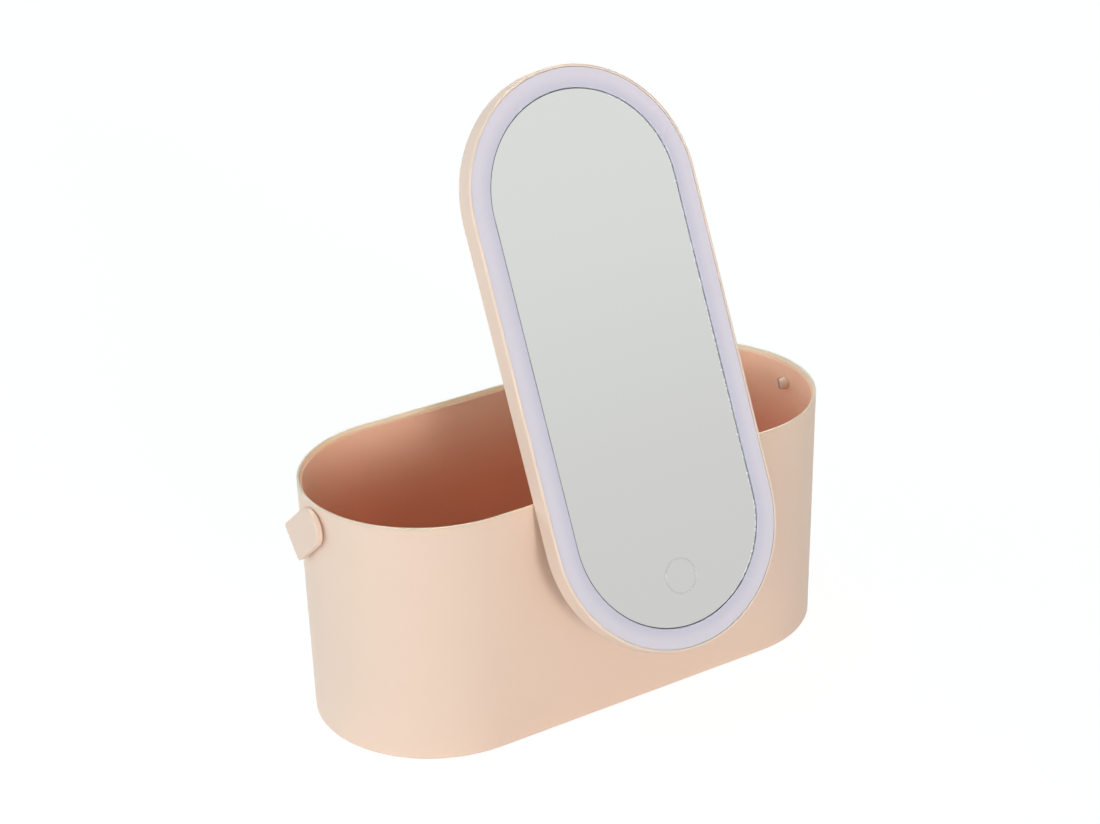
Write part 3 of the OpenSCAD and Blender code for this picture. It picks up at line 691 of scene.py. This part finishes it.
STEP_Z = RIM_Z - STEP_DEEP
BIN_PROFILE = [
    (0, PAD_TOP, 0), (PAD_R + PAD_FIT, PAD_TOP, 0), (PAD_R + PAD_FIT, SHELL_FOOT, 0.2),
    (wall_r(SHELL_FOOT), SHELL_FOOT, BASE_ROUND), (wall_r(RIM_Z), RIM_Z, 0.45),
    (RIM_R - RIM_LIP, RIM_Z, 0.4), (RIM_R - RIM_LIP, STEP_Z, 0.9), (wall_r(STEP_Z) - WALL, STEP_Z, 0.35),
    (wall_r(FLOOR_Z) - WALL, FLOOR_Z, BASE_ROUND), (0, FLOOR_Z, 0)]
bin_shell = pill("bin_shell", BIN_PROFILE, SPINE, bin_finish)
print("the bin has", len(bin_shell.data.polygons), "faces")

# %% [markdown]
# ## Cutting and joining solids
#
# Some details break the rule of the pill: the bosses and holes of the latch pins, the screw bosses
# inside the lid, the slot of the socket. Cutting them into the grid by hand would be slow. A Boolean
# does it on closed solids, and all the cutters of a piece are joined first, so it runs only twice a
# piece. Afterwards the piece is merged and shaded again by the angle of its edges.

# %% Helpers for Booleans
TURNED_STEPS = 24          # steps round half of a small turned piece
BIG_TURN = math.radians(35)


def smooth_cad_tree():
    """Joins loose triangles and shades the surface smooth where it is curved."""
    tree, given = new_group("smooth by angle", "GeometryNodeTree",
                            {"Geometry": "geometry", "Sharp Angle": "float"}, {"Geometry": "geometry"})
    joined = add(tree, "GeometryNodeMergeByDistance",
                 {"Geometry": given["Geometry"], "Distance": TOUCHING})
    smooth = smooth_by_angle(tree, joined.outputs[0], given["Sharp Angle"])
    add(tree, "NodeGroupOutput", {"Geometry": smooth})
    return tree


SMOOTH_TREE = smooth_cad_tree()


def smoothed(thing):
    """Adds the smoothing as live modifiers, which also weigh the normals by the size of a face."""
    modifier = thing.modifiers.new("smooth", "NODES")
    modifier.node_group = SMOOTH_TREE
    set_inputs(modifier, {"Sharp Angle": BIG_TURN})
    thing.modifiers.new("weigh", "WEIGHTED_NORMAL").keep_sharp = True
    return thing


def turned(name, corners, place=Matrix.Identity(4)):
    """A small solid turned about its own Z, from its profile."""
    return pill(name, corners, 0, None, place=place, steps=TURNED_STEPS)


def block(name, low, high, place=Matrix.Identity(4)):
    """A plain box, for cutting."""
    corners = [(x, y, z) for x in (low[0], high[0]) for y in (low[1], high[1]) for z in (low[2], high[2])]
    faces = [(0, 1, 3, 2), (4, 6, 7, 5), (0, 4, 5, 1), (2, 3, 7, 6), (0, 2, 6, 4), (1, 5, 7, 3)]
    thing = mesh_object(name, [Vector(c) * MM for c in corners], faces=faces)
    thing.data.transform(place)
    return thing


def gathered(things):
    """One object from several that don't touch, so that one Boolean handles them all."""
    joined = bmesh.new()
    for thing in things:
        joined.from_mesh(thing.data)
        bpy.data.objects.remove(thing)
    whole = mesh_object("gathered", [])
    joined.to_mesh(whole.data)
    joined.free()
    return whole


def carve(thing, others, operation):
    """Joins the others to the thing (UNION), or cuts them out of it (DIFFERENCE)."""
    tool = gathered(others)
    modifier = thing.modifiers.new("carve", "BOOLEAN")
    modifier.object = tool
    modifier.operation = operation
    modifier.solver = "EXACT"
    freeze(thing)
    bpy.data.objects.remove(tool)
    own = next((m for m in thing.data.materials if m), None)
    thing.data.materials.clear()              # the cut faces wear the thing's own finish
    thing.data.materials.append(own)
    thing.data.polygons.foreach_set("material_index", [0] * len(thing.data.polygons))
    return thing


def hand_in(thing, body, slot, *replaced):
    """Attaches a finished piece to its body and hides the CAD pieces it replaces."""
    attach(thing, body)
    if replaced:
        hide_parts(*replaced)
    return thing


print("Boolean helpers are ready")

# %% [markdown]
# ## Seats of the latch pins
#
# Each end of the bin has a round boss with a hole, in which the latch's pin turns. Its faces stand a
# little proud of the wall on both sides, and its edges are softened.

# %% Bosses and holes in the bin's ends
LATCH_DROP = 12.5
PIN_Z = RIM_Z - LATCH_DROP
PIN_HOLE_R = 3.05
BOSS_R = 5
BOSS_PROUD = (0.1, 0.3)    # how far a boss stands out of the wall, outside and inside
BOSS_OUT = SPINE + RIM_R + BOSS_PROUD[0]
BOSS_IN = SPINE + wall_r(PIN_Z) - WALL - BOSS_PROUD[1]
CLEAR = 1                  # how far a cutter runs past what it cuts


def on_pin(side):
    """The line through both latch pins, with Z outwards at that end."""
    return Matrix.Translation((0, 0, PIN_Z * MM)) @ Matrix.Rotation(side * math.pi / 2, 4, "Y")


def rod(name, radius, low, high, place):
    """A round rod along its own Z."""
    return turned(name, [(0, low, 0), (radius, low, 0), (radius, high, 0), (0, high, 0)], place)


bosses = [turned("boss", [(0, BOSS_IN, 0), (BOSS_R, BOSS_IN, 0.2), (BOSS_R, BOSS_OUT, 0.25),
                          (0, BOSS_OUT, 0)], on_pin(side)) for side in (-1, 1)]
carve(bin_shell, bosses, "UNION")
holes = [rod("hole", PIN_HOLE_R, BOSS_IN - CLEAR, BOSS_OUT + CLEAR, on_pin(side)) for side in (-1, 1)]
carve(bin_shell, holes, "DIFFERENCE")
smoothed(bin_shell)
hand_in(bin_shell, "box", "blush_plastic", "box_shell")
print("the bin has", len(bin_shell.data.polygons), "faces with its bosses")

# %% [markdown]
# ## The lid's frame
#
# The frame is the same pill lying on its side: a narrow soft lip in front, a rebate for the light
# ring, a ledge inside that carries the lights, and a rebate at the back for the cover. It could be
# left as the CAD piece, whose edges are crisp, but its lip is the thin bright line round the lid in
# the picture, so it is drawn again with true roundings.

# %% The lid's frame
LID_THICK = 10.6
LIP_R = 61.6
CAVITY_R = 59.6
COVER_SEAT_R = 61.35
COVER_TOP = 9.0
RING_FLOOR = 1.9
LEDGE_TOP = 4.4
LEDGE_THICK = 1.0
LEDGE_IN = 50.05

FRAME_PROFILE = [
    (RIM_R, -LID_THICK, 0.5), (RIM_R, 0, 1.0), (LIP_R, 0, 0.25), (LIP_R, -RING_FLOOR, 0),
    (CAVITY_R, -RING_FLOOR, 0.1), (CAVITY_R, -LEDGE_TOP, 0.2), (LEDGE_IN, -LEDGE_TOP, 0.1),
    (LEDGE_IN, -LEDGE_TOP - LEDGE_THICK, 0.1), (CAVITY_R, -LEDGE_TOP - LEDGE_THICK, 0.3),
    (CAVITY_R, -COVER_TOP, 0.1), (COVER_SEAT_R, -COVER_TOP, 0), (COVER_SEAT_R, -LID_THICK, 0.15)]
lid_shell = pill("lid_shell", FRAME_PROFILE, SPINE, lid_plastic(), closed=True, place=ALONG_LID)
print("the lid's frame has", len(lid_shell.data.polygons), "faces")

# %% Screw bosses, holes, the socket's slot and the latch pockets
SCREW_LINE = CAVITY_R - 3.6   # the screws' distance from the lid's middle line
SCREW_SIDE = (SCREW_LINE, SPINE - 34.5)
BEND_REACH = SCREW_LINE * math.sin(math.pi / 4)
SCREW_BEND = (BEND_REACH, SPINE + BEND_REACH)
SCREW_SPOTS = [(sx * x, sy * y) for x, y in (SCREW_SIDE, SCREW_BEND) for sx in (-1, 1) for sy in (-1, 1)]
SCREW_R = 1.0
SCREW_BOSS_R = 3.0
SCREW_HOLE_R = 1.05
POCKET_HALF = (9, 1.55)       # half its width and half its height
POCKET_MID = 4.2
POCKET_DEEP = 1.5
SOCKET_WIDE = 8.9
SOCKET_HIGH = 3.2
SOCKET_LONG = 7.3
SOCKET_ROOM = 0.2
SOCKET_Y = -67.5
SOCKET_Z = -7.2
SOCKET_MOUTH = 62.6


def on_lid(x, y, z=0):
    """A place on the lid, in millimetres, as a matrix."""
    return LID_PLACE @ Matrix.Translation(Vector((x, y, z)) * MM)


def slot_cutter():
    """The socket's oval, running out through the lid's side."""
    flat, curve = (SOCKET_WIDE - SOCKET_HIGH) / 2, SOCKET_HIGH / 2 + SOCKET_ROOM
    depth = SOCKET_LONG + 4 * CLEAR
    to_side = on_lid(SOCKET_MOUTH - SOCKET_LONG - CLEAR, SOCKET_Y, SOCKET_Z) @ Euler(
        (math.pi / 2, 0, math.pi / 2)).to_matrix().to_4x4()
    profile = [(0, 0, 0), (curve, 0, 0), (curve, depth, 0), (0, depth, 0)]
    return pill("slot", profile, flat, None, place=to_side, steps=TURNED_STEPS)


def pocket_cutter(side):
    wide, high = POCKET_HALF
    inner = (RIM_R + SPINE - POCKET_DEEP) * side
    outer = (RIM_R + SPINE + CLEAR) * side
    return block("pocket", (-wide, min(inner, outer), -POCKET_MID - high),
                 (wide, max(inner, outer), -POCKET_MID + high), LID_PLACE)


carve(lid_shell, [rod("boss", SCREW_BOSS_R, -COVER_TOP, -LEDGE_TOP - LEDGE_THICK / 2, on_lid(x, y))
                  for x, y in SCREW_SPOTS], "UNION")
cutters = [rod("hole", SCREW_HOLE_R, -COVER_TOP - CLEAR, -LEDGE_TOP + CLEAR, on_lid(x, y))
           for x, y in SCREW_SPOTS]
cutters += [slot_cutter(), pocket_cutter(-1), pocket_cutter(1)]
carve(lid_shell, cutters, "DIFFERENCE")
smoothed(lid_shell)
hand_in(lid_shell, "lid", "blush_plastic", "lid_frame")
print("the lid's frame has", len(lid_shell.data.polygons), "faces with its details")

# %% [markdown]
# ## The light ring
#
# A flat ring of milky acrylic lies between the lip and the mirror, a little below the lip. The same
# tree draws it, with a soft outer edge and a crisp inner one beside the glass.

# %% The light ring
RING_SINK = 0.4
RING_PROFILE = [(RING_IN, -RING_FLOOR, 0), (RING_OUT, -RING_FLOOR, 0.1), (RING_OUT, -RING_SINK, 0.3),
                (RING_IN, -RING_SINK, 0.15)]
light_ring = pill("light_ring", RING_PROFILE, SPINE, milky, closed=True, place=ALONG_LID)
smoothed(light_ring)
hand_in(light_ring, "lid", "milky_plastic", "light_diffuser")
print("the light ring has", len(light_ring.data.polygons), "faces")

# %% [markdown]
# ## Latches, leg and tip
#
# These pieces keep their CAD shape, which has the nib, the pin and the split snap end, but their
# plates need the soft edges of a moulding. A Bevel over everything would spoil the small snap end,
# so a copy of the mesh is merged, its flat triangles are dissolved into whole faces, and only the
# edges round the plate's faces are rounded.

# %% Soft edges on copies of CAD pieces
FLAT_TURN = math.radians(1)
EDGE_TURN = math.radians(40)


def softened(name, source, material, width, chosen, steps=4):
    """A copy of a CAD piece with its chosen outer edges rounded."""
    shape = bmesh.new()
    shape.from_mesh(nodes[source].data)
    bmesh.ops.remove_doubles(shape, verts=shape.verts, dist=TOUCHING)
    bmesh.ops.dissolve_limit(shape, angle_limit=FLAT_TURN, verts=shape.verts, edges=shape.edges)
    edges = [e for e in shape.edges
             if e.is_manifold and e.is_convex and e.calc_face_angle() > EDGE_TURN and chosen(e)]
    bmesh.ops.bevel(shape, geom=edges, offset=width * MM, offset_type="OFFSET", segments=steps,
                    profile=0.5, affect="EDGES", clamp_overlap=True)
    thing = mesh_object(name, [])
    shape.to_mesh(thing.data)
    shape.free()
    thing.data.materials.append(material)
    print(name, "has", len(edges), "softened edges")
    return smoothed(thing)


def on_planes(axis, *places):
    """Chooses edges that lie in one of the planes across that axis."""
    def chosen(edge):
        return any(all(abs(v.co[axis] - place) < 1e-5 for v in edge.verts) for place in places)
    return chosen


# %% The latches
LATCH_SOFT = 0.8
for side, body in ((-1, "latch_left"), (1, "latch_right")):
    source = ("left" if side < 0 else "right") + "_latch"
    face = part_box(source)[0 if side < 0 else 1].x
    latch = softened(source + "_soft", source, blush, LATCH_SOFT, on_planes(0, face))
    hand_in(latch, body, "blush_plastic", source)

# %% The leg and its tip
LEG_THICK = 2.6
TIP_THICK = 3.2
leg_y = sum(v.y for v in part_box("stand_tip")) / 2
leg_faces = [leg_y + s * LEG_THICK / 2 * MM for s in (-1, 1)]
tip_faces = [leg_y + s * TIP_THICK / 2 * MM for s in (-1, 1)]
leg = softened("leg_soft", "stand_leg", blush, 0.5, on_planes(1, *leg_faces), steps=3)
hand_in(leg, "stand", "blush_plastic", "stand_leg")
tip = softened("leg_tip_soft", "stand_tip", rubber, 0.6, on_planes(1, *tip_faces), steps=3)
hand_in(tip, "stand", "grey_rubber", "stand_tip")

# %% [markdown]
# ## Screws and lights
#
# What repeats is drawn once and placed by Geometry Nodes. The screws are copied to marked places, each
# turned by a seeded random angle, as a hand leaves them. The lights follow the channel behind the light
# ring: a curve is divided into equal steps, and each light is turned along it.

# %% Trees that place copies
def copies_at(tree, given, points, rotation):
    """Ends a tree with a copy of its piece on each point."""
    piece = add(tree, "GeometryNodeObjectInfo", {"Object": given["Piece"]}).outputs["Geometry"]
    placed = add(tree, "GeometryNodeInstanceOnPoints",
                 {"Points": points, "Instance": piece, "Rotation": rotation}).outputs[0]
    return give_out(tree, placed, given["Material"])


def copies_on_places():
    tree, given = new_group("copies on places", "GeometryNodeTree",
                            {"Places": "geometry", "Piece": "object", "Any Turn": "float", "Seed": "int",
                             "Material": "material"}, {"Geometry": "geometry"})
    turn = add(tree, "FunctionNodeRandomValue", {"Min": 0.0, "Seed": given["Seed"]}, data_type="FLOAT")
    tree.links.new(given["Any Turn"], turn.inputs[3])
    return copies_at(tree, given, given["Places"], as_vector(tree, z=turn.outputs[1]))


def copies_along():
    tree, given = new_group("copies along a path", "GeometryNodeTree",
                            {"Path": "geometry", "Piece": "object", "Count": "int",
                             "Material": "material"}, {"Geometry": "geometry"})
    curve = add(tree, "GeometryNodeMeshToCurve", {"Mesh": given["Path"]}).outputs[0]
    steps = add(tree, "GeometryNodeResampleCurve", {"Curve": curve, "Count": given["Count"]}).outputs[0]
    along = add(tree, "GeometryNodeInputTangent").outputs[0]
    aim = add(tree, "FunctionNodeAlignRotationToVector", {"Vector": along}, axis="Y", pivot_axis="Z")
    return copies_at(tree, given, steps, aim.outputs[0])


def placed_copies(name, tree, points, edges, piece, values):
    """Copies of a piece where the tree puts them on the lid, turned into a mesh of its own."""
    thing = mesh_object(name, [Vector(p) * MM for p in points], edges)
    modifier = thing.modifiers.new("copies", "NODES")
    modifier.node_group = tree
    set_inputs(modifier, {"Piece": piece, **values})
    freeze(thing)
    bpy.data.objects.remove(piece)
    thing.data.transform(LID_PLACE)
    return smoothed(thing)


print("copying trees are ready")

# %% One screw, with its thread and a cross in its head
THREAD_DEEP = 0.12
THREAD_PITCH = 0.45
TIP_R = 0.4
HEAD_R = 2.0                # the cover screws are countersunk
COVER_CROSS = (1.0, 0.2)    # half the length and half the width of the cross
SMALL_R = 0.8               # the board screws have a round head
SMALL_LONG = 2.3
SMALL_HEAD_R = 1.6
SMALL_HEAD = 0.7
SMALL_CROSS = (0.9, 0.18)


def thread(radius, low, high):
    """The zigzag of a thread's side, going up."""
    count = int((high - low) / THREAD_PITCH)
    corners = []
    for k in range(count):
        corners += [(radius - THREAD_DEEP, low + k * THREAD_PITCH, 0),
                    (radius, low + (k + 0.5) * THREAD_PITCH, 0)]
    return corners + [(radius - THREAD_DEEP, low + count * THREAD_PITCH, 0)]


def crossed(screw, cross, low, high):
    """Cuts a cross into a screw's head."""
    for wide, deep in (cross, cross[::-1]):
        carve(screw, [block("cross", (-wide, -deep, low), (wide, deep, high))], "DIFFERENCE")
    return screw


def cover_screw():
    length = LID_THICK - LEDGE_TOP
    corners = [(0, 0, 0), (HEAD_R, 0, 0.08), (SCREW_R, HEAD_R - SCREW_R, 0)]
    corners += thread(SCREW_R, 1.3, length - 0.5) + [(TIP_R, length, 0), (0, length, 0)]
    return crossed(turned("screw", corners), COVER_CROSS, -CLEAR, 0.5)


def board_screw():
    corners = [(0, -SMALL_LONG, 0), (TIP_R, -SMALL_LONG, 0)] + thread(SMALL_R, -2.0, -0.1)
    corners += [(SMALL_R, 0, 0), (SMALL_HEAD_R, 0, 0.1), (SMALL_HEAD_R, SMALL_HEAD, 0.35),
                (0, SMALL_HEAD, 0)]
    return crossed(turned("screw", corners), SMALL_CROSS, SMALL_HEAD / 2, SMALL_HEAD + CLEAR)


print("a thread turns every", THREAD_PITCH, "mm")

# %% Screws in the cover and on the board
BOARD_SIZE = (46, 36)
BOARD_GAP = 1.6               # between the control board and the lid's side
BOARD_LOW = -SPINE - 10
BOARD_TOP = -6.7
POST_IN = (5, 4)              # the posts' distances from the board's edges
POST_X = CAVITY_R - BOARD_GAP - BOARD_SIZE[0] + POST_IN[0]
POST_SPOTS = [(POST_X, BOARD_LOW + POST_IN[1]), (POST_X, BOARD_LOW + BOARD_SIZE[1] - POST_IN[1])]
ANY_TURN = math.pi / 2
ON_PLACES = copies_on_places()


def screws_in(name, spots, height, screw, seed, node):
    """Screws at their places on the lid."""
    made = placed_copies(name, ON_PLACES, [(x, y, height) for x, y in spots], (), screw,
                         {"Any Turn": ANY_TURN, "Seed": seed, "Material": steel})
    hand_in(made, "lid", "steel", node)


screws_in("lid_cover_screws", SCREW_SPOTS, -LID_THICK, cover_screw(), 3, "cover_screws")
screws_in("lid_board_screws", POST_SPOTS, BOARD_TOP, board_screw(), 5, "board_screws")
print("screws:", len(SCREW_SPOTS), "in the cover and", len(POST_SPOTS), "on the board")

# %% Lights along the channel
LIGHT_SIZE = (2.8, 3.5, 0.8)
LIGHT_SOFT = 0.08
WINDOW_IN = 0.35
WINDOW_DEEP = 0.12
LIGHT_UNDER = -3.6
LIGHT_PITCH = 15
LIGHT_LINE = (RING_IN + 2 + CAVITY_R) / 2
half_way = 2 * SPINE + math.pi * LIGHT_LINE
light_count = 2 * math.floor(half_way / LIGHT_PITCH)
light_step = 2 * half_way / light_count


def light_path(points_round=48):
    """The channel's middle line, begun half a step along its first straight."""
    path = [(LIGHT_LINE, light_step / 2 - SPINE)]
    for side in (0, 1):
        for k in range(points_round + 1):
            turn = math.pi * (side + k / points_round)
            end = SPINE * (1 - 2 * side)
            path.append((LIGHT_LINE * math.cos(turn), end + LIGHT_LINE * math.sin(turn)))
    return [(x, y, LIGHT_UNDER) for x, y in path]


def one_light():
    """A flat package with soft edges and a sunk window."""
    x, y, z = LIGHT_SIZE
    light = block("light", (-x / 2, -y / 2, 0), (x / 2, y / 2, z))
    shape = bmesh.new()
    shape.from_mesh(light.data)
    bmesh.ops.bevel(shape, geom=shape.edges[:], offset=LIGHT_SOFT * MM, segments=1, affect="EDGES")
    top = max(shape.faces, key=lambda f: f.calc_center_median().z)
    bmesh.ops.inset_region(shape, faces=[top], thickness=WINDOW_IN * MM, depth=-WINDOW_DEEP * MM)
    shape.to_mesh(light.data)
    shape.free()
    return light


path = light_path()
ring = [(i, (i + 1) % len(path)) for i in range(len(path))]
lights = placed_copies("lid_lights", copies_along(), path, ring, one_light(),
                       {"Count": light_count, "Material": phosphor})
hand_in(lights, "lid", "led_package", "leds")
print("the channel holds", light_count, "lights, one every %.1f mm" % light_step)

# %% [markdown]
# ## Pieces that keep their CAD shape
#
# What lies inside the lid, and what is already as soft as it should be, keeps its CAD mesh. It gets its
# finish and the same smoothing, which is a modifier, so the frame's own mesh isn't changed.

# %% The pieces that keep their CAD shape
CAD_FINISH = {
    "base_pad": rubber, "latch_washers": rubber, "back_cover": blush, "mirror_glass": silver,
    "mirror_tape": foam, "mirror_tray": white_moulding, "led_board": white_board,
    "control_board": green_board, "board_parts": chip, "charging_socket": steel,
    "battery_cell": pouch, "cell_pad": foam, "touch_electrode": copper, "cell_leads": red_wire,
    "led_leads": red_wire, "touch_lead": red_wire, "stand_pin": steel}

for name, material in CAD_FINISH.items():
    nodes[name].data.materials.clear()
    nodes[name].data.materials.append(material)
    smoothed(nodes[name])
print(len(CAD_FINISH), "pieces keep their CAD shape")

# %% [markdown]
# ## Floor and light
#
# The picture was taken in a white tent: pale walls all round glow near the level of the table, the
# left is brighter and a little cooler, little comes from above, and one narrow softbox in front sends
# light over the front rim. The lid's edge cuts that beam, which is why the far wall of the bin is
# bright to the left of the lid and deep beside it. Lamps could stand for each of these, but they
# would show in the mirror, so the world carries them: its light is split into bands of height and
# lobes of direction, and only bounced light sees them. The camera sees plain white, and the gloss
# sees white with two brighter patches, which give the plastic its soft highlights.

# %% The floor
FLOOR_SIZE = 6.0
FLOOR_TONE = 0.93
FLOOR_GLOW = 1.27          # what the camera sees of a white tent's floor
FLOOR_SHARE = 0.68         # the rest shows the shadow


def seen_directly(tree):
    """1 for what the camera, the mirror or clear plastic looks at, and 0 for bounced light."""
    seen = add(tree, "ShaderNodeLightPath").outputs
    direct = maths(tree, "MAXIMUM", seen["Is Camera Ray"], seen["Is Glossy Ray"])
    return maths(tree, "MAXIMUM", direct, seen["Is Transmission Ray"])


def stage():
    corners = [(x * FLOOR_SIZE, y * FLOOR_SIZE, 0) for x, y in ((-1, -1), (1, -1), (1, 1), (-1, 1))]
    floor = mesh_object("studio_floor", corners, faces=[(0, 1, 2, 3)])
    made, tree, shader = finish("studio_floor", roughness=0.9)
    feed(tree, shader, {"Base Color": rgba([FLOOR_TONE] * 3), "Specular IOR Level": 0.0})
    glow = add(tree, "ShaderNodeEmission", {"Strength": FLOOR_GLOW})
    share = maths(tree, "MULTIPLY", seen_directly(tree), FLOOR_SHARE)
    both = add(tree, "ShaderNodeMixShader", {0: share, 1: shader.outputs[0], 2: glow.outputs[0]})
    feed(tree, tree.nodes["Material Output"], {"Surface": both.outputs[0]})
    floor.data.materials.append(made)


stage()
print("the floor is %.0f m wide" % (2 * FLOOR_SIZE))

# %% The light
LOW_ENDS, HIGH_STARTS = (0.12, 0.42), (0.55, 0.85)      # heights, as the sine of the elevation
# name: (band, brightest direction in degrees from the right or None for all round, red green and blue)
TENT = {"left wall": ("low", 155, (1.46, 1.62, 1.80)),
        "front wall": ("low", 270, (0.04, 0.02, 0.01)),
        "upper left": ("mid", 195, (0.29, 0.33, 0.36)),
        "upper front": ("mid", 270, (0.11, 0.08, 0.07)),
        "roof": ("high", None, (0.24, 0.34, 0.32))}
SOFTBOX = {"direction": 261, "half width": 9, "colour": (22.4, 20.6, 20.0)}
# what the gloss sees besides white, as (direction, half angle in degrees, level)
SHINE = {"overhead": ((0.30, 0.25, 0.92), 32, 12.0), "left front": ((-0.72, -0.62, 0.30), 22, 5.0)}


def studio_world():
    made = bpy.data.worlds.new("studio")
    made.use_nodes = True
    scene.world = made
    tree = made.node_tree
    tree.nodes.clear()
    way = add(tree, "ShaderNodeTexCoord").outputs["Generated"]
    parts = parts_of(tree, way)
    level_way = vectors(tree, "NORMALIZE", as_vector(tree, parts[0], parts[1]))
    low = ramp(tree, parts[2], *LOW_ENDS, 1.0, 0.0)
    high = ramp(tree, parts[2], *HIGH_STARTS)
    mid = maths(tree, "SUBTRACT", maths(tree, "SUBTRACT", 1.0, low), high)
    bands = {"low": low, "mid": mid, "high": high}

    def towards(degrees):
        turn = math.radians(degrees)
        return vectors(tree, "DOT_PRODUCT", level_way, (math.cos(turn), math.sin(turn), 0))

    def more(light, colour, level):
        return vectors(tree, "ADD", light, vectors(tree, "SCALE", colour, scale=level))

    total = (0, 0, 0)
    for band, degrees, colour in TENT.values():
        lobe = 1.0 if degrees is None else maths(tree, "ADD", towards(degrees), 1.0)
        total = more(total, colour, maths(tree, "MULTIPLY", bands[band], lobe))
    off = maths(tree, "ARCCOSINE", maths(tree, "MINIMUM", towards(SOFTBOX["direction"]), 1.0))
    beam = ramp(tree, off, 0.0, math.radians(SOFTBOX["half width"]), 1.0, 0.0)
    total = more(total, SOFTBOX["colour"], maths(tree, "MULTIPLY", beam, low))
    shine = 0.0
    for aim, half, level in SHINE.values():
        apart = vectors(tree, "DOT_PRODUCT", way, Vector(aim).normalized())
        edge = math.cos(math.radians(half))
        shine = maths(tree, "ADD", ramp(tree, apart, edge, (1 + edge) / 2, 0.0, level), shine)
    shine = maths(tree, "MULTIPLY", shine, add(tree, "ShaderNodeLightPath").outputs["Is Glossy Ray"])
    soft = add(tree, "ShaderNodeBackground", {"Color": total, "Strength": 1.0})
    white = add(tree, "ShaderNodeBackground",
                {"Color": rgba((1, 1, 1)), "Strength": maths(tree, "ADD", shine, 1.0)})
    both = add(tree, "ShaderNodeMixShader",
               {0: seen_directly(tree), 1: soft.outputs[0], 2: white.outputs[0]})
    add(tree, "ShaderNodeOutputWorld", {"Surface": both.outputs[0]})
    return len(TENT)


print("the tent's light has", studio_world(), "parts and a softbox")

# %% [markdown]
# ## The view transform
#
# The view transform is plain, so a colour renders as it is written.

# %% Set the view transform
scene.view_settings.view_transform = "Standard"
